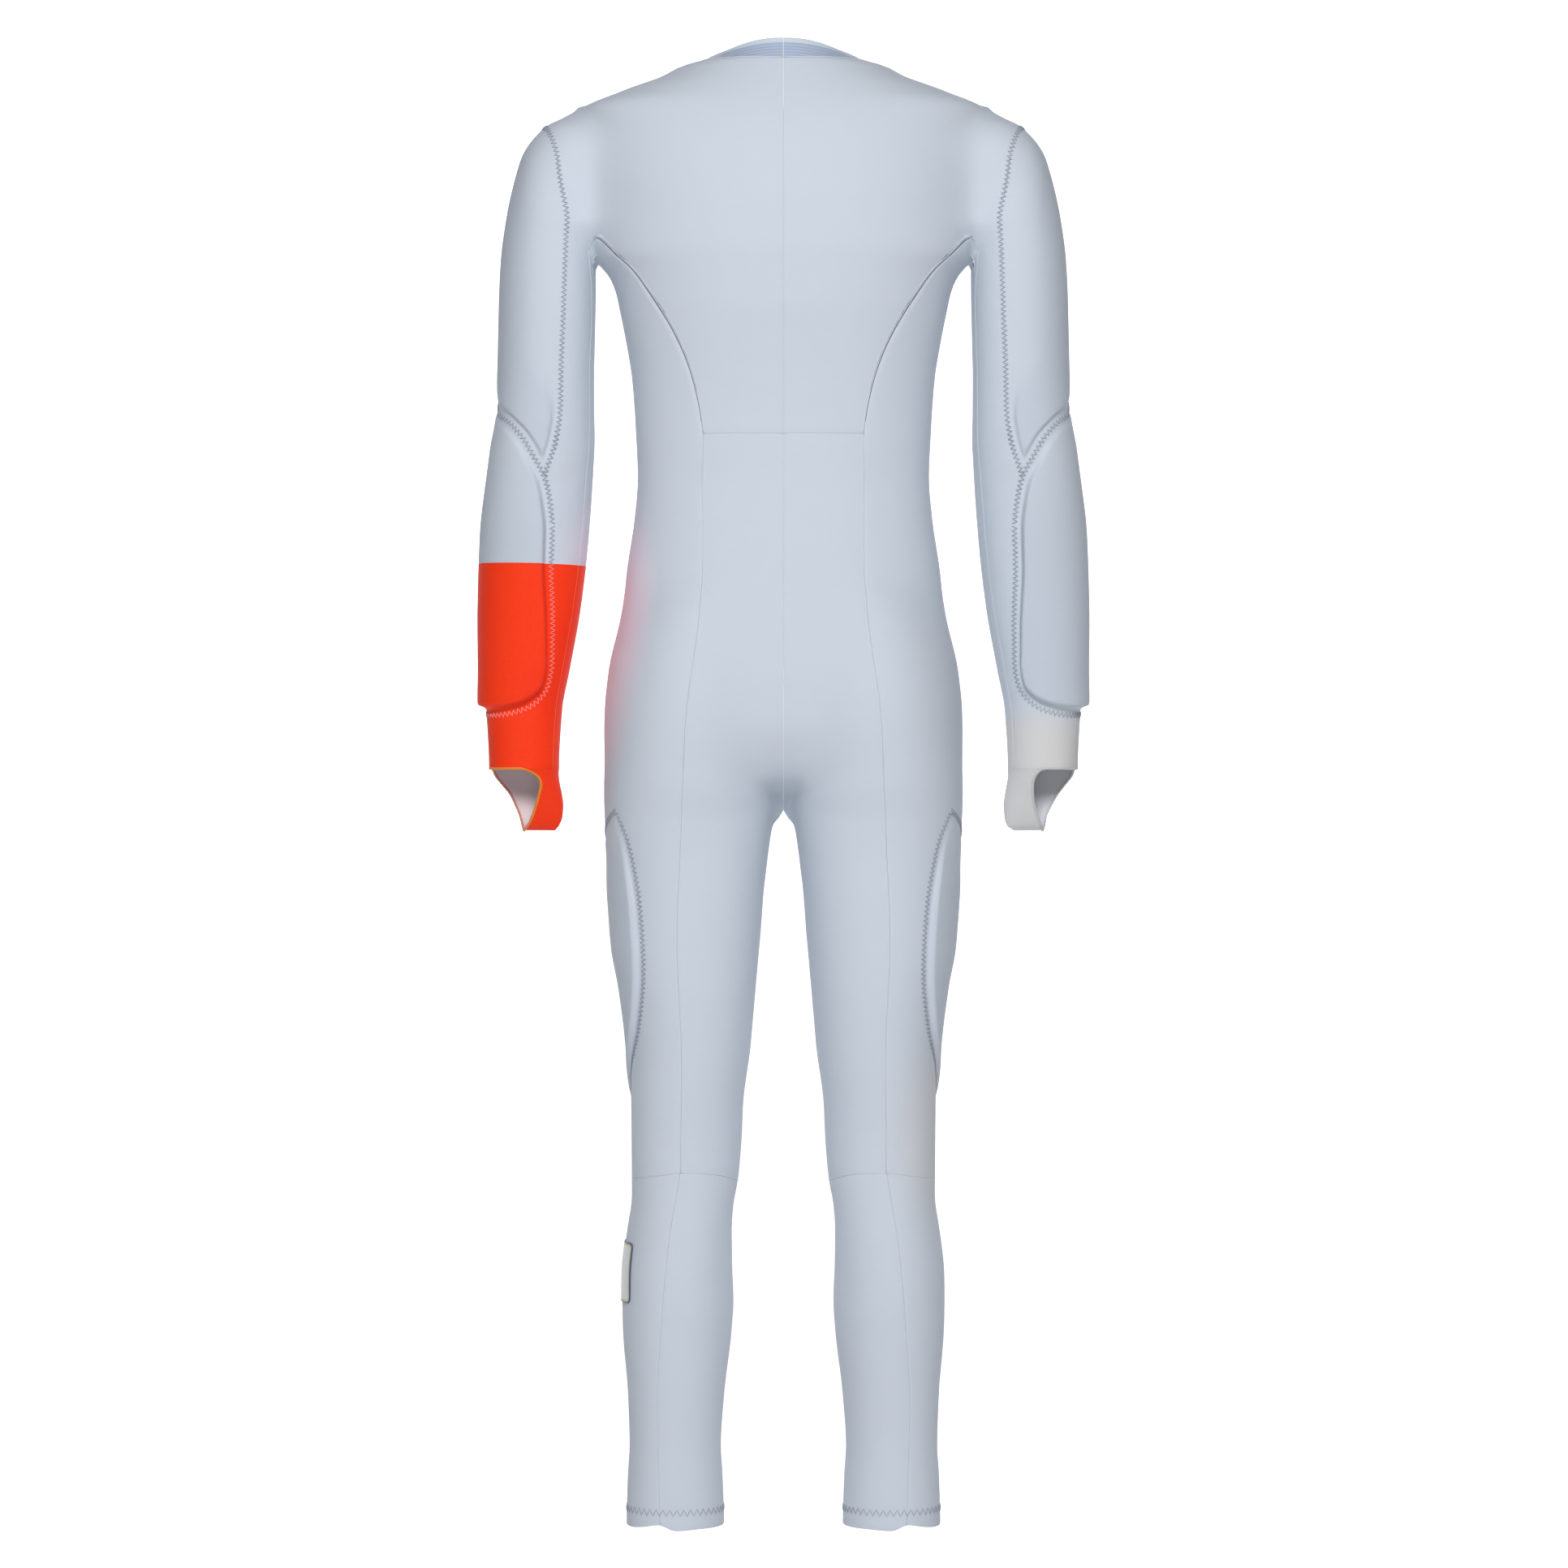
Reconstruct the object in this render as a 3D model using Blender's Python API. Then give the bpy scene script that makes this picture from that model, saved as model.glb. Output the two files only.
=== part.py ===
"""Ski race suit, as worn by an unseen figure: thin sewn panels on one smooth body form.

Metres, +Z up. The origin is the middle of the neck base, the wearer faces -Y, and +X is the wearer's left.
Every panel is found on the form of the worn suit, is drawn back a little at each seam, and is given a wall.
"""
import bmesh
import bpy
import math
import numpy as np
from mathutils import Vector
from mathutils.geometry import tessellate_polygon

# Named sizes, in metres
WALL = 0.0015
SEAM_HALF_GAP = 0.00015
EYE_DISTANCE = 4.6
EYE_HEIGHT = -0.713
ZIP_HALF_WIDTH = 0.006
UPPER_PAD_RISE = 0.0035
FOREARM_PAD_RISE = 0.0088
THIGH_PAD_RISE = 0.0050
PAD_FOOT = 0.006
PAD_FULL = 0.014
UPPER_PAD_SOFT = 0.022

# The form, in millimetres: a row per height
# height, half width, front depth, back depth, middle in y, roundness of the section
TRUNK = [
    (60, 58, 60, 46, -8, 2.0),
    (24, 64, 62, 56, -2, 2.0),
    (6, 70, 65, 60, -1, 2.0),
    (0, 76.5, 66, 62, 0, 2.0),
    (-8, 104, 68, 66, 0, 2.0),
    (-17, 121, 71, 71, 0, 2.0),
    (-32, 162, 78, 79, 0, 2.0),
    (-50, 198, 88, 88, 0, 2.1),
    (-75, 194, 98, 98, 0, 2.2),
    (-110, 190, 108, 107, 0, 2.3),
    (-150, 187, 116, 113, 0, 2.3),
    (-180, 187, 119, 113, 0, 2.3),
    (-196, 184.5, 120, 113, 0, 2.3),
    (-204, 179, 120, 112, 0, 2.3),
    (-212, 172.5, 119, 111, 0, 2.3),
    (-228, 165.4, 118, 109, 0, 2.3),
    (-248, 161, 117, 106, 0, 2.3),
    (-278, 155, 113, 99, 0, 2.3),
    (-316, 149, 108, 91, 0, 2.3),
    (-366, 145.5, 102, 84, 0, 2.3),
    (-412, 143.6, 99, 82, 0, 2.3),
    (-450, 146.6, 99, 85, 0, 2.3),
    (-509, 155, 101, 94, 0, 2.3),
    (-560, 159, 102, 102, 0, 2.3),
    (-601, 165, 101, 105, 0, 2.2),
    (-650, 163, 97, 100, 0, 2.1),
    (-682, 154, 88, 86, 0, 2.0),
    (-710, 120, 60, 56, 3, 2.0),
    (-723, 20, 10, 10, 6, 2.0),
]
# height, middle in x, half width, front depth, back depth, middle in y, roundness
LEG = [
    (-500, 86, 12, 10, 10, 30, 2.0),
    (-530, 86, 46, 50, 66, 20, 2.0),
    (-580, 88, 70, 80, 95, 12, 2.1),
    (-640, 90, 82.0, 92, 106, 8, 2.1),
    (-708, 92.5, 84.0, 92, 98, 6, 2.1),
    (-752, 93.6, 82.0, 91, 86, 6, 2.1),
    (-790, 93.7, 77.6, 90, 80, 6, 2.1),
    (-820, 94.3, 74.8, 88, 78, 6, 2.1),
    (-871, 94.3, 70.9, 84, 74, 6, 2.1),
    (-914, 92.4, 65.2, 79, 71, 6, 2.1),
    (-967, 91.4, 59.6, 71, 65, 5, 2.1),
    (-1028, 94.8, 55.2, 62, 57, 4, 2.1),
    (-1060, 95.4, 54.3, 60, 54, 3, 2.1),
    (-1104, 97.2, 52.2, 57, 53, 3, 2.1),
    (-1126, 99.4, 50.4, 54, 55, 4, 2.1),
    (-1146, 101.8, 51.2, 52, 58, 5, 2.1),
    (-1166, 103.2, 52.6, 51, 61, 6, 2.1),
    (-1190, 104.2, 54.0, 50, 63, 8, 2.1),
    (-1219, 103.8, 54.8, 49, 63, 9, 2.1),
    (-1252, 104.4, 53.4, 48, 60, 9, 2.1),
    (-1310, 105.5, 47.6, 46, 52, 10, 2.1),
    (-1364, 106.4, 45.0, 44, 47, 10, 2.1),
    (-1390, 106.4, 46.6, 44, 47, 10, 2.1),
    (-1442, 106.3, 48.0, 46, 48, 10, 2.1),
    (-1480, 106.3, 48.0, 46, 48, 10, 2.1),
]
# height, middle in x, half width, front depth, back depth, middle in y, roundness
ARM = [
    (-50, 200, 4, 4, 4, 2, 2.0),
    (-57, 201, 16, 18, 18, 2, 2.0),
    (-67, 206, 30, 32, 32, 2, 2.0),
    (-83, 212.5, 36, 42, 42, 1, 2.0),
    (-112, 219, 40.5, 49, 50, 0, 2.0),
    (-157, 226.5, 43.2, 53, 54, 0, 2.05),
    (-200, 230.0, 45.2, 54, 55, 0, 2.1),
    (-240, 231.0, 46.0, 54, 55, 0, 2.1),
    (-300, 232.5, 46.0, 53, 54, -2, 2.1),
    (-343, 234.0, 47.4, 51, 53, -4, 2.1),
    (-385, 237.2, 50.6, 50, 52, -8, 2.1),
    (-430, 239.7, 50.2, 50, 49, -14, 2.1),
    (-485, 243.4, 49.2, 49, 46, -20, 2.1),
    (-540, 247.8, 46.7, 46, 43, -26, 2.1),
    (-600, 253.4, 41.2, 41, 39, -32, 2.1),
    (-640, 257.4, 37.6, 37, 36, -36, 2.1),
    (-697, 257.8, 34.8, 33, 33, -40, 2.1),
    (-720, 257.8, 34.8, 33, 33, -42, 2.1),
]

# Seams as seen from behind, in millimetres on the plane through the neck: across, height
SIDE_SEAM = [
    (185.0, -173.6), (173.0, -179.4), (146.6, -208.8), (120.2, -245.6), (100.2, -283.2), (89.0, -315.2),
    (81.4, -348.8), (79.4, -367.2), (79.4, -412.8), (79.4, -494.4), (84.2, -556.0), (96.2, -644.0),
    (99.8, -722.0), (101.4, -768.8), (105.0, -871.2), (100.7, -973.6), (101.0, -1045.0), (101.8, -1096.4),
]
SLEEVE_SEAM_UPPER = [
    (233.0, -64.8), (226.6, -80.0), (222.6, -95.0), (220.2, -117.6), (213.6, -150.4), (215.2, -190.0),
]
SLEEVE_SEAM_LOWER = [
    (215.2, -190.0), (217.0, -240.0), (219.7, -308.0), (221.0, -352.0), (225.8, -379.2), (235.4, -410.4),
]
FOREARM_SEAM_SIDE = [(235.4, -410.4), (229.4, -440.8), (229.0, -504.8), (227.4, -555.2), (229.0, -600.0)]
FOREARM_SEAM_FOOT = [
    (229.0, -600.0), (234.0, -621.0), (240.0, -629.5), (249.8, -636.4), (264.6, -642.4), (277.8, -644.4),
]
ELBOW_SEAM = [(235.4, -410.4), (241.8, -398.8), (251.8, -378.4), (265.0, -360.8), (281.0, -346.0)]
THIGH_PAD_BACK = [
    (164.6, -739.6), (155.0, -764.0), (146.5, -796.0), (141.8, -826.0), (138.7, -860.0), (137.0, -897.6),
    (138.7, -922.4), (143.0, -960.0), (148.8, -1003.0),
]
SHANK_SEAM = [
    (101.8, -1096.4), (111.0, -1150.4), (117.0, -1200.8), (120.2, -1252.0), (124.4, -1319.0),
    (122.8, -1400.0), (121.8, -1444.0),
]

# Seams on the hidden sides, round a limb: height, angle in degrees from the outer side toward the back
THIGH_PAD_FRONT = [
    (-740, 30), (-762, 2), (-795, -24), (-850, -48), (-915, -62), (-975, -62), (-1025, -48), (-1050, -30),
]
THIGH_PAD_BACK_END = [(-1004, 0), (-1030, -16), (-1050, -30)]
INSEAM = [(-757, 181), (-790, 183), (-860, 185), (-960, 186), (-1104.5, 184)]

# The neck, in millimetres: across, in y, height
COLLAR_SEAM_BACK = [(0, 62, -8.6), (28, 57, -8.7), (50, 48, -9.2), (68, 31, -11.5), (77, 6, -16)]
COLLAR_SEAM_FRONT = [(77, 6, -16), (78, -16, -27), (68, -42, -40), (42, -62, -52), (6, -72, -59)]
COLLAR_TOP_BACK = [(0, 57, 14.4), (30, 51, 12.2), (52, 40, 6.5), (67, 22, 1.5), (74, 2, -1.5)]
COLLAR_TOP_FRONT = [(74, 2, -1.5), (72, -18, -10), (62, -40, -22), (38, -58, -33), (6, -66, -39)]

# The hand loops, in millimetres: height, near edge, inmost, far edge, half depth, middle in y
HAND_LOOP_LEFT = [
    (-697.5, 256.2, 223.0, 290.0, 33.0, -40),
    (-703, 244.2, 223.4, 288.6, 31.0, -40.5),
    (-712, 239.1, 222.4, 281.9, 28.0, -41),
    (-723, 241.4, 220.2, 272.8, 23.0, -42),
    (-733.6, 244.6, 219.0, 267.6, 18.5, -43),
    (-744.8, 248.5, 219.8, 262.6, 13.0, -44),
    (-754.4, 253.4, 223.4, 259.8, 7.0, -45),
    (-759, 258.2, 227.4, 258.2, 0.0, -45),
]
HAND_LOOP_RIGHT = [
    (-697.5, 254.8, 222.8, 290.0, 33.0, -40),
    (-703, 249.4, 223.3, 289.0, 31.0, -40.5),
    (-712, 246.2, 222.2, 282.4, 28.0, -41),
    (-723, 246.6, 220.2, 273.8, 23.0, -42),
    (-733.6, 247.8, 219.1, 267.6, 18.5, -43),
    (-744.8, 251.4, 219.8, 261.8, 13.0, -44),
    (-754.4, 255.4, 222.6, 259.8, 7.0, -45),
    (-759, 257.8, 229.4, 257.8, 0.0, -45),
]
HAND_LOOP_MIDDLE = 257.8
HAND_LOOP_OUTER = 34.8
LOOP_STEPS = 12

# Label: height top and bottom in millimetres, and the two edge angles in degrees
LABEL = (-1162.0, -1220.0, 35.6, -24.0)
LABEL_OFF = 0.0004
LABEL_THICK = 0.0008

# Slider and pull, in millimetres: the slider sits on the closed zip just below the collar's edge
SLIDER_HEIGHT = -49.0
SLIDER = {"wide": 8.0, "long": 11.0, "thick": 2.6, "off": 0.4}
LUG = {"thick": 1.2, "inner": 2.9, "rise": 3.8, "long": 4.4}
PIN_RADIUS = 0.7
PULL = {"wide": 5.0, "long": 26.0, "thick": 1.4, "eye": 1.9}
PULL_TILT = 7.0


def column(rows, index):
    return np.array([row[index] for row in rows], dtype=float)


def smooth_read(rows, index, height):
    """A column of a table at any height: smooth between rows, with no overshoot."""
    z = column(rows, 0)[::-1]
    v = column(rows, index)[::-1]
    step = np.diff(z)
    slope = np.diff(v) / step
    tangent = np.zeros_like(v)
    left, right = slope[:-1], slope[1:]
    w1, w2 = 2 * step[1:] + step[:-1], step[1:] + 2 * step[:-1]
    same = left * right > 0
    safe_left = np.where(same, left, 1.0)
    safe_right = np.where(same, right, 1.0)
    tangent[1:-1] = np.where(same, (w1 + w2) / (w1 / safe_left + w2 / safe_right), 0.0)
    tangent[0], tangent[-1] = slope[0], slope[-1]
    h = np.clip(height, z[0], z[-1])
    k = np.clip(np.searchsorted(z, h, side="right") - 1, 0, len(z) - 2)
    d = step[k]
    t = (h - z[k]) / d
    return ((2 * t**3 - 3 * t**2 + 1) * v[k] + (t**3 - 2 * t**2 + t) * d * tangent[k]
            + (3 * t**2 - 2 * t**3) * v[k + 1] + (t**3 - t**2) * d * tangent[k + 1])


def fine_table(rows):
    """Every column of a table at each half millimetre of height, from the lowest row up."""
    heights = np.arange(rows[-1][0], rows[0][0] + 0.25, 0.5)
    return rows[-1][0], np.stack([smooth_read(rows, i, heights) for i in range(1, len(rows[0]))], axis=-1)


FINE = {"trunk": fine_table([(r[0], 0.0) + r[1:] for r in TRUNK]),
        "leg": fine_table(LEG),
        "arm": fine_table(ARM)}


def read_fine(name, height):
    lowest, values = FINE[name]
    place = np.clip((height - lowest) * 2.0, 0.0, len(values) - 1.001)
    k = place.astype(int)
    t = (place - k)[..., None]
    beyond = np.abs((height - lowest) * 2.0 - place) / 2.0
    return values[k] * (1 - t) + values[k + 1] * t, beyond


def section(values, beyond, x, y):
    """Radial distance in millimetres from a section, less than zero inside."""
    dx = x - values[..., 0]
    dy = y - values[..., 4]
    half = values[..., 1]
    deep = np.where(dy > 0, values[..., 3], values[..., 2])
    power = values[..., 5]
    size = ((np.abs(dx) / half) ** power + (np.abs(dy) / deep) ** power + 1e-9) ** (1.0 / power)
    return np.hypot(dx, dy) * (1.0 - 1.0 / size) + beyond


def soft_min(a, b, reach):
    near = np.maximum(reach - np.abs(a - b), 0.0) / reach
    return np.minimum(a, b) - near**3 * reach / 6.0


def ramp(value, low, high):
    t = np.clip((value - low) / (high - low), 0.0, 1.0)
    return t * t * (3 - 2 * t)


def form(p):
    """The worn form in metres, less than zero inside: trunk, both legs and the left arm."""
    x, y, z = p[..., 0] * 1000.0, p[..., 1] * 1000.0, p[..., 2] * 1000.0
    trunk = section(*read_fine("trunk", z), x, y)
    leg_values, leg_beyond = read_fine("leg", z)
    legs = soft_min(section(leg_values, leg_beyond, x, y), section(leg_values, leg_beyond, -x, y), 10.0)
    body = soft_min(trunk, legs, 45.0)
    reach = (7.0 + 69.0 * ramp(z, -200.0, -160.0)) * (1.0 - 0.7 * ramp(z, -90.0, -50.0))
    return soft_min(body, section(*read_fine("arm", z), x, y), reach) / 1000.0


CORNERS = np.array([[1, -1, -1], [-1, -1, 1], [-1, 1, -1], [1, 1, 1]], dtype=float)


def slope_of(p):
    h = 0.0005
    f = form(p[..., None, :] + CORNERS * h)
    return (f[..., :, None] * CORNERS).sum(axis=-2) / (4 * h)


def outward(p):
    g = slope_of(p)
    return g / np.maximum(np.linalg.norm(g, axis=-1, keepdims=True), 1e-9)


def settle(p, rounds=12):
    """Moves points along the form's slope on to its surface."""
    p = np.array(p, dtype=float)
    for _ in range(rounds):
        g = slope_of(p)
        f = form(p)[..., None]
        step = f * g / np.maximum((g * g).sum(axis=-1, keepdims=True), 0.15)
        length = np.linalg.norm(step, axis=-1, keepdims=True)
        p = p - step * np.minimum(1.0, 0.02 / np.maximum(length, 1e-9))
    return p


def seen(across, height, side=1.0):
    """The first point of the form met by a line of sight from behind (side 1) or from in front (side -1)."""
    across, height = np.asarray(across, float) / 1000.0, np.asarray(height, float) / 1000.0
    eye = np.array([0.0, side * EYE_DISTANCE, EYE_HEIGHT])
    aim = np.stack([across, np.zeros_like(across), height], axis=-1)
    t = np.linspace(0.955, 1.03, 200)
    way = eye + t[None, :, None] * (aim[:, None, :] - eye)
    f = form(way)
    hit = np.argmax(f < 0.0, axis=1)
    missed = ~(f < 0.0).any(axis=1)
    hit = np.where(missed, np.argmin(f, axis=1), hit)
    return settle(way[np.arange(len(hit)), hit])


def round_limb(rows, table):
    """Points on a limb from rows of height and angle."""
    height, angle = column(table, 0), np.radians(column(table, 1))
    mx = smooth_read(rows, 1, height)
    my = smooth_read(rows, 5, height)
    half = smooth_read(rows, 2, height)
    deep = np.where(np.sin(angle) > 0, smooth_read(rows, 4, height), smooth_read(rows, 3, height))
    out = np.stack([mx + half * np.cos(angle), my + deep * np.sin(angle), height], axis=-1) / 1000.0
    return settle(out)


def lengthwise(points):
    return np.concatenate([[0.0], np.cumsum(np.linalg.norm(np.diff(points, axis=0), axis=1))])


def trace(points, dense=241):
    """A smooth line on the form through a few points."""
    points = np.asarray(points, float)
    s = lengthwise(points)
    t = np.linspace(0.0, s[-1], dense)
    tangent = np.gradient(points, s, axis=0)
    k = np.clip(np.searchsorted(s, t, side="right") - 1, 0, len(s) - 2)
    d = (s[k + 1] - s[k])[:, None]
    u = ((t - s[k]) / d[:, 0])[:, None]
    line = ((2 * u**3 - 3 * u**2 + 1) * points[k] + (u**3 - 2 * u**2 + u) * d * tangent[k]
            + (3 * u**2 - 2 * u**3) * points[k + 1] + (u**3 - u**2) * d * tangent[k + 1])
    return settle(line)


def divide(line, count):
    """Equal steps along a line."""
    s = lengthwise(line)
    t = np.linspace(0.0, s[-1], count + 1)
    out = settle(np.stack([np.interp(t, s, line[:, axis]) for axis in range(3)], axis=-1))
    out[0], out[-1] = line[0], line[-1]
    return out


def drawn(pieces, count):
    """One smooth line through lists of points set end to end, in equal steps."""
    return divide(trace(np.concatenate(pieces)), count)


def join(*lines):
    out = [lines[0]]
    for line in lines[1:]:
        out.append(line[1:])
    return np.concatenate(out)


def to_front(points, rows):
    """The same line on the front of a limb or the trunk: turned over through its middle plane."""
    middle = smooth_read(rows, 5 if len(rows[0]) == 7 else 4, points[:, 2] * 1000.0) / 1000.0
    return settle(np.stack([points[:, 0], 2 * middle - points[:, 1], points[:, 2]], axis=-1))


def kept_off(net, line, least):
    """Moves a net's inner points away from its right edge until none is nearer than the least."""
    a, b = line[:-1], line[1:]
    along = b - a
    square = (along * along).sum(axis=-1)
    toward = net[:, :1] - net
    toward /= np.maximum(np.linalg.norm(toward, axis=-1, keepdims=True), 1e-9)
    for _ in range(6):
        p = net[1:-1, 1:-1]
        t = np.clip(((p[:, :, None] - a) * along).sum(axis=-1) / square, 0.0, 1.0)
        near = np.linalg.norm(p[:, :, None] - (a + t[..., None] * along), axis=-1).min(axis=-1)
        short = np.maximum(least - near, 0.0)[..., None]
        net[1:-1, 1:-1] = settle(p + toward[1:-1, 1:-1] * short, 3)
    return net


def patch(top, bottom, left, right, relax=24, least=0.0):
    """A net of points between four lines of the form: top and bottom run across, left and right run down."""
    columns, rows = len(top), len(left)
    u = np.linspace(0, 1, columns)[None, :, None]
    v = np.linspace(0, 1, rows)[:, None, None]
    net = (1 - v) * top[None] + v * bottom[None] + (1 - u) * left[:, None] + u * right[:, None]
    net -= (1 - v) * ((1 - u) * top[0] + u * top[-1]) + v * ((1 - u) * bottom[0] + u * bottom[-1])
    inner = (slice(1, -1), slice(1, -1))
    if columns > 2 and rows > 2:
        net[inner] = settle(net[inner])
        for _ in range(relax):
            mean = (net[:-2, 1:-1] + net[2:, 1:-1] + net[1:-1, :-2] + net[1:-1, 2:]) / 4
            net[inner] = settle(0.4 * net[inner] + 0.6 * mean, 2)
        net[inner] = settle(net[inner], 6)
        if least > 0.0:
            kept_off(net, right, least)
    net[0], net[-1], net[:, 0], net[:, -1] = top, bottom, left, right
    return net


class Panel:
    """Points and faces of one panel on the form, gathered from nets that share their edges."""

    def __init__(self):
        self.points = []
        self.index = {}
        self.nets = []

    def number(self, point):
        key = tuple(np.round(point * 1e6).astype(int))
        if key not in self.index:
            self.index[key] = len(self.points)
            self.points.append(np.array(point, dtype=float))
        return self.index[key]

    def add(self, net):
        self.nets.append([])
        ids = [[self.number(p) for p in row] for row in net]
        for a, b in zip(ids[:-1], ids[1:]):
            for i in range(len(a) - 1):
                self.face([a[i], a[i + 1], b[i + 1], b[i]])
        return self

    def bridge(self, fine, coarse):
        """Joins a row to a row of half as many steps."""
        self.nets.append([])
        f = [self.number(p) for p in fine]
        c = [self.number(p) for p in coarse]
        for i in range(len(c) - 1):
            self.face([f[2 * i], f[2 * i + 1], c[i]])
            self.face([f[2 * i + 1], c[i + 1], c[i]])
            self.face([f[2 * i + 1], f[2 * i + 2], c[i + 1]])
        return self

    def face(self, ids):
        clean = [v for i, v in enumerate(ids) if v != ids[i - 1]]
        if len(clean) > 2:
            self.nets[-1].append(clean)


def turn_outward(points, faces, normals):
    """Turns all faces of one net the same way round, the way most of them already face outward."""
    vote = 0.0
    for face in faces:
        a, b, c = points[face[0]], points[face[1]], points[face[-1]]
        flat = np.cross(b - a, c - a)
        if len(face) == 4:
            flat = np.cross(points[face[2]] - a, points[face[3]] - b)
        vote += float(flat @ normals[face].sum(axis=0))
    return faces if vote > 0 else [face[::-1] for face in faces]


def edges_once(faces):
    count = {}
    for face in faces:
        for a, b in zip(face, face[1:] + face[:1]):
            count[(a, b)] = count.get((a, b), 0) + 1
    return [edge for edge in count if (edge[1], edge[0]) not in count]


def drawn_back(points, faces, normals, gap):
    """Moves the outer edge of a panel inward, in its own surface, by half the gap of a seam."""
    edges = edges_once(faces)
    total = np.zeros_like(points)
    sides = {}
    for a, b in edges:
        along = points[b] - points[a]
        inward = np.cross(normals[a] + normals[b], along)
        inward /= np.linalg.norm(inward)
        for v in (a, b):
            total[v] += inward
            sides.setdefault(v, []).append(inward)
    out = points.copy()
    for v, each in sides.items():
        mean = total[v] / max(np.linalg.norm(total[v]), 1e-9)
        reach = max(0.35, min(float(mean @ one) for one in each))
        out[v] = points[v] + mean * gap / reach
    return out, edges


def walled(panel, pad=None, wall=WALL, gap=SEAM_HALF_GAP, normals=None):
    """A closed solid from a panel: outer points, the same points a wall further in, and the rim between.

    Each piece of rim is cut along the diagonal that the next panel's rim has too, so the two stay parallel.
    """
    points = np.array(panel.points)
    if normals is None:
        normals = outward(points)
    faces = [face for net in panel.nets for face in turn_outward(points, net, normals)]
    lift = np.zeros(len(points))
    edges = edges_once(faces)
    if pad is not None:
        rise, full = pad(points[:, 2])
        border = np.array([points[a] for a, b in edges])
        border = np.concatenate([border, np.array([(points[a] + points[b]) / 2 for a, b in edges])])
        away = np.array([np.linalg.norm(border - p, axis=1).min() for p in points])
        lift = rise * ramp(away, PAD_FOOT, full)
    moved, edges = drawn_back(points, faces, normals, gap)
    outer = moved + normals * lift[:, None]
    inner = moved - normals * wall
    count = len(points)
    faces = in_triangles(points, faces, normals)
    solid_faces = list(faces)
    solid_faces += [[v + count for v in reversed(face)] for face in faces]
    for a, b in edges:
        if tuple(np.round(points[a], 6)) < tuple(np.round(points[b], 6)):
            solid_faces += [[b, a, b + count], [a, a + count, b + count]]
        else:
            solid_faces += [[b, a, a + count], [b, a + count, b + count]]
    return np.concatenate([outer, inner]), solid_faces


def upper_pad(z):
    """Rise of the upper arm's pad and how far from its edge it is full: soft, with a firm lower end."""
    return UPPER_PAD_RISE + 0.0 * z, PAD_FULL + UPPER_PAD_SOFT * ramp(z, -0.360, -0.280)


def forearm_pad(z):
    return FOREARM_PAD_RISE * (0.15 + 0.85 * ramp(-z, 0.360, 0.470)), PAD_FULL + 0.0 * z


def thigh_pad(z):
    return THIGH_PAD_RISE * (0.15 + 0.85 * ramp(-z, 0.745, 0.830)), PAD_FULL + 0.0 * z


def in_triangles(points, faces, normals):
    """Cuts each four-sided face along the diagonal that leaves both halves facing outward."""
    out = []
    for face in faces:
        if len(face) == 3:
            out.append(face)
            continue
        best = None
        for turn in (0, 1):
            a, b, c, d = face[turn:] + face[:turn]
            halves = []
            for three in ((a, b, c), (a, c, d)):
                flat = np.cross(points[three[1]] - points[three[0]], points[three[2]] - points[three[0]])
                mean = normals[list(three)].sum(axis=0)
                halves.append(float(flat @ mean) / (np.linalg.norm(flat) * np.linalg.norm(mean) + 1e-15))
            score = round(min(0.9, *halves), 2) - float(np.linalg.norm(points[a] - points[c])) * 0.1
            if best is None or score > best[0]:
                best = (score, [[a, b, c], [a, c, d]])
        out += best[1]
    return out


def mirrored(points, faces):
    return points * np.array([-1.0, 1.0, 1.0]), [list(reversed(face)) for face in faces]


# Blender objects
def plain_material(name, colour, rough):
    material = bpy.data.materials.new(name)
    material.use_nodes = True
    shader = material.node_tree.nodes["Principled BSDF"]
    shader.inputs["Base Color"].default_value = (*colour, 1.0)
    shader.inputs["Roughness"].default_value = rough
    return material


def node(name, points, faces, colour, rough=0.6):
    mesh = bpy.data.meshes.new(name)
    mesh.from_pydata([tuple(float(c) for c in p) for p in points], [], [list(map(int, f)) for f in faces])
    mesh.update()
    thing = bpy.data.objects.new(name, mesh)
    thing.data.materials.append(plain_material(name + "_material", colour, rough))
    SUIT.objects.link(thing)
    return thing


def both(name, points, faces, colour_left, colour_right=None, rough=0.6):
    node(name + "_L", points, faces, colour_left, rough)
    flipped = mirrored(points, faces)
    node(name + "_R", flipped[0], flipped[1], colour_right or colour_left, rough)


for thing in list(bpy.data.objects):
    bpy.data.objects.remove(thing, do_unlink=True)
SUIT = bpy.data.collections.new("ski_race_suit")
bpy.context.scene.collection.children.link(SUIT)

PALE = (0.60, 0.66, 0.75)
ORANGE = (0.85, 0.06, 0.01)
WARM_WHITE = (0.62, 0.61, 0.60)
METAL = (0.55, 0.56, 0.58)

# How many steps each line has
TORSO_COLUMNS = 7
SLEEVE_COLUMNS = 3
COLLAR_STEPS = 5
SHOULDER_STEPS = 5
YOKE_TOP_ROWS = 9
ARCH_STEPS = 5
TORSO_ROWS = 6
UPPER_SLEEVE_ROWS = 7
FOREARM_ROWS = 8
FOOT_STEPS = 5
ARM_HALF = 5
CUFF_ROWS = 3
SIDE_HALF = 4
HIP_ROWS = 11
LEG_ROWS = 12
PAD_EDGE = 12
BELOW_PAD = 2
SHANK_ROWS = 11

# Lines of the left half
CUFF_LEVEL = -697.0
HEM_LEVEL = -1439.5


def from_table(table, side=1.0):
    return seen(column(table, 0), column(table, 1), side)


def at_depth(points):
    return settle(np.asarray(points, float) / 1000.0)


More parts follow.
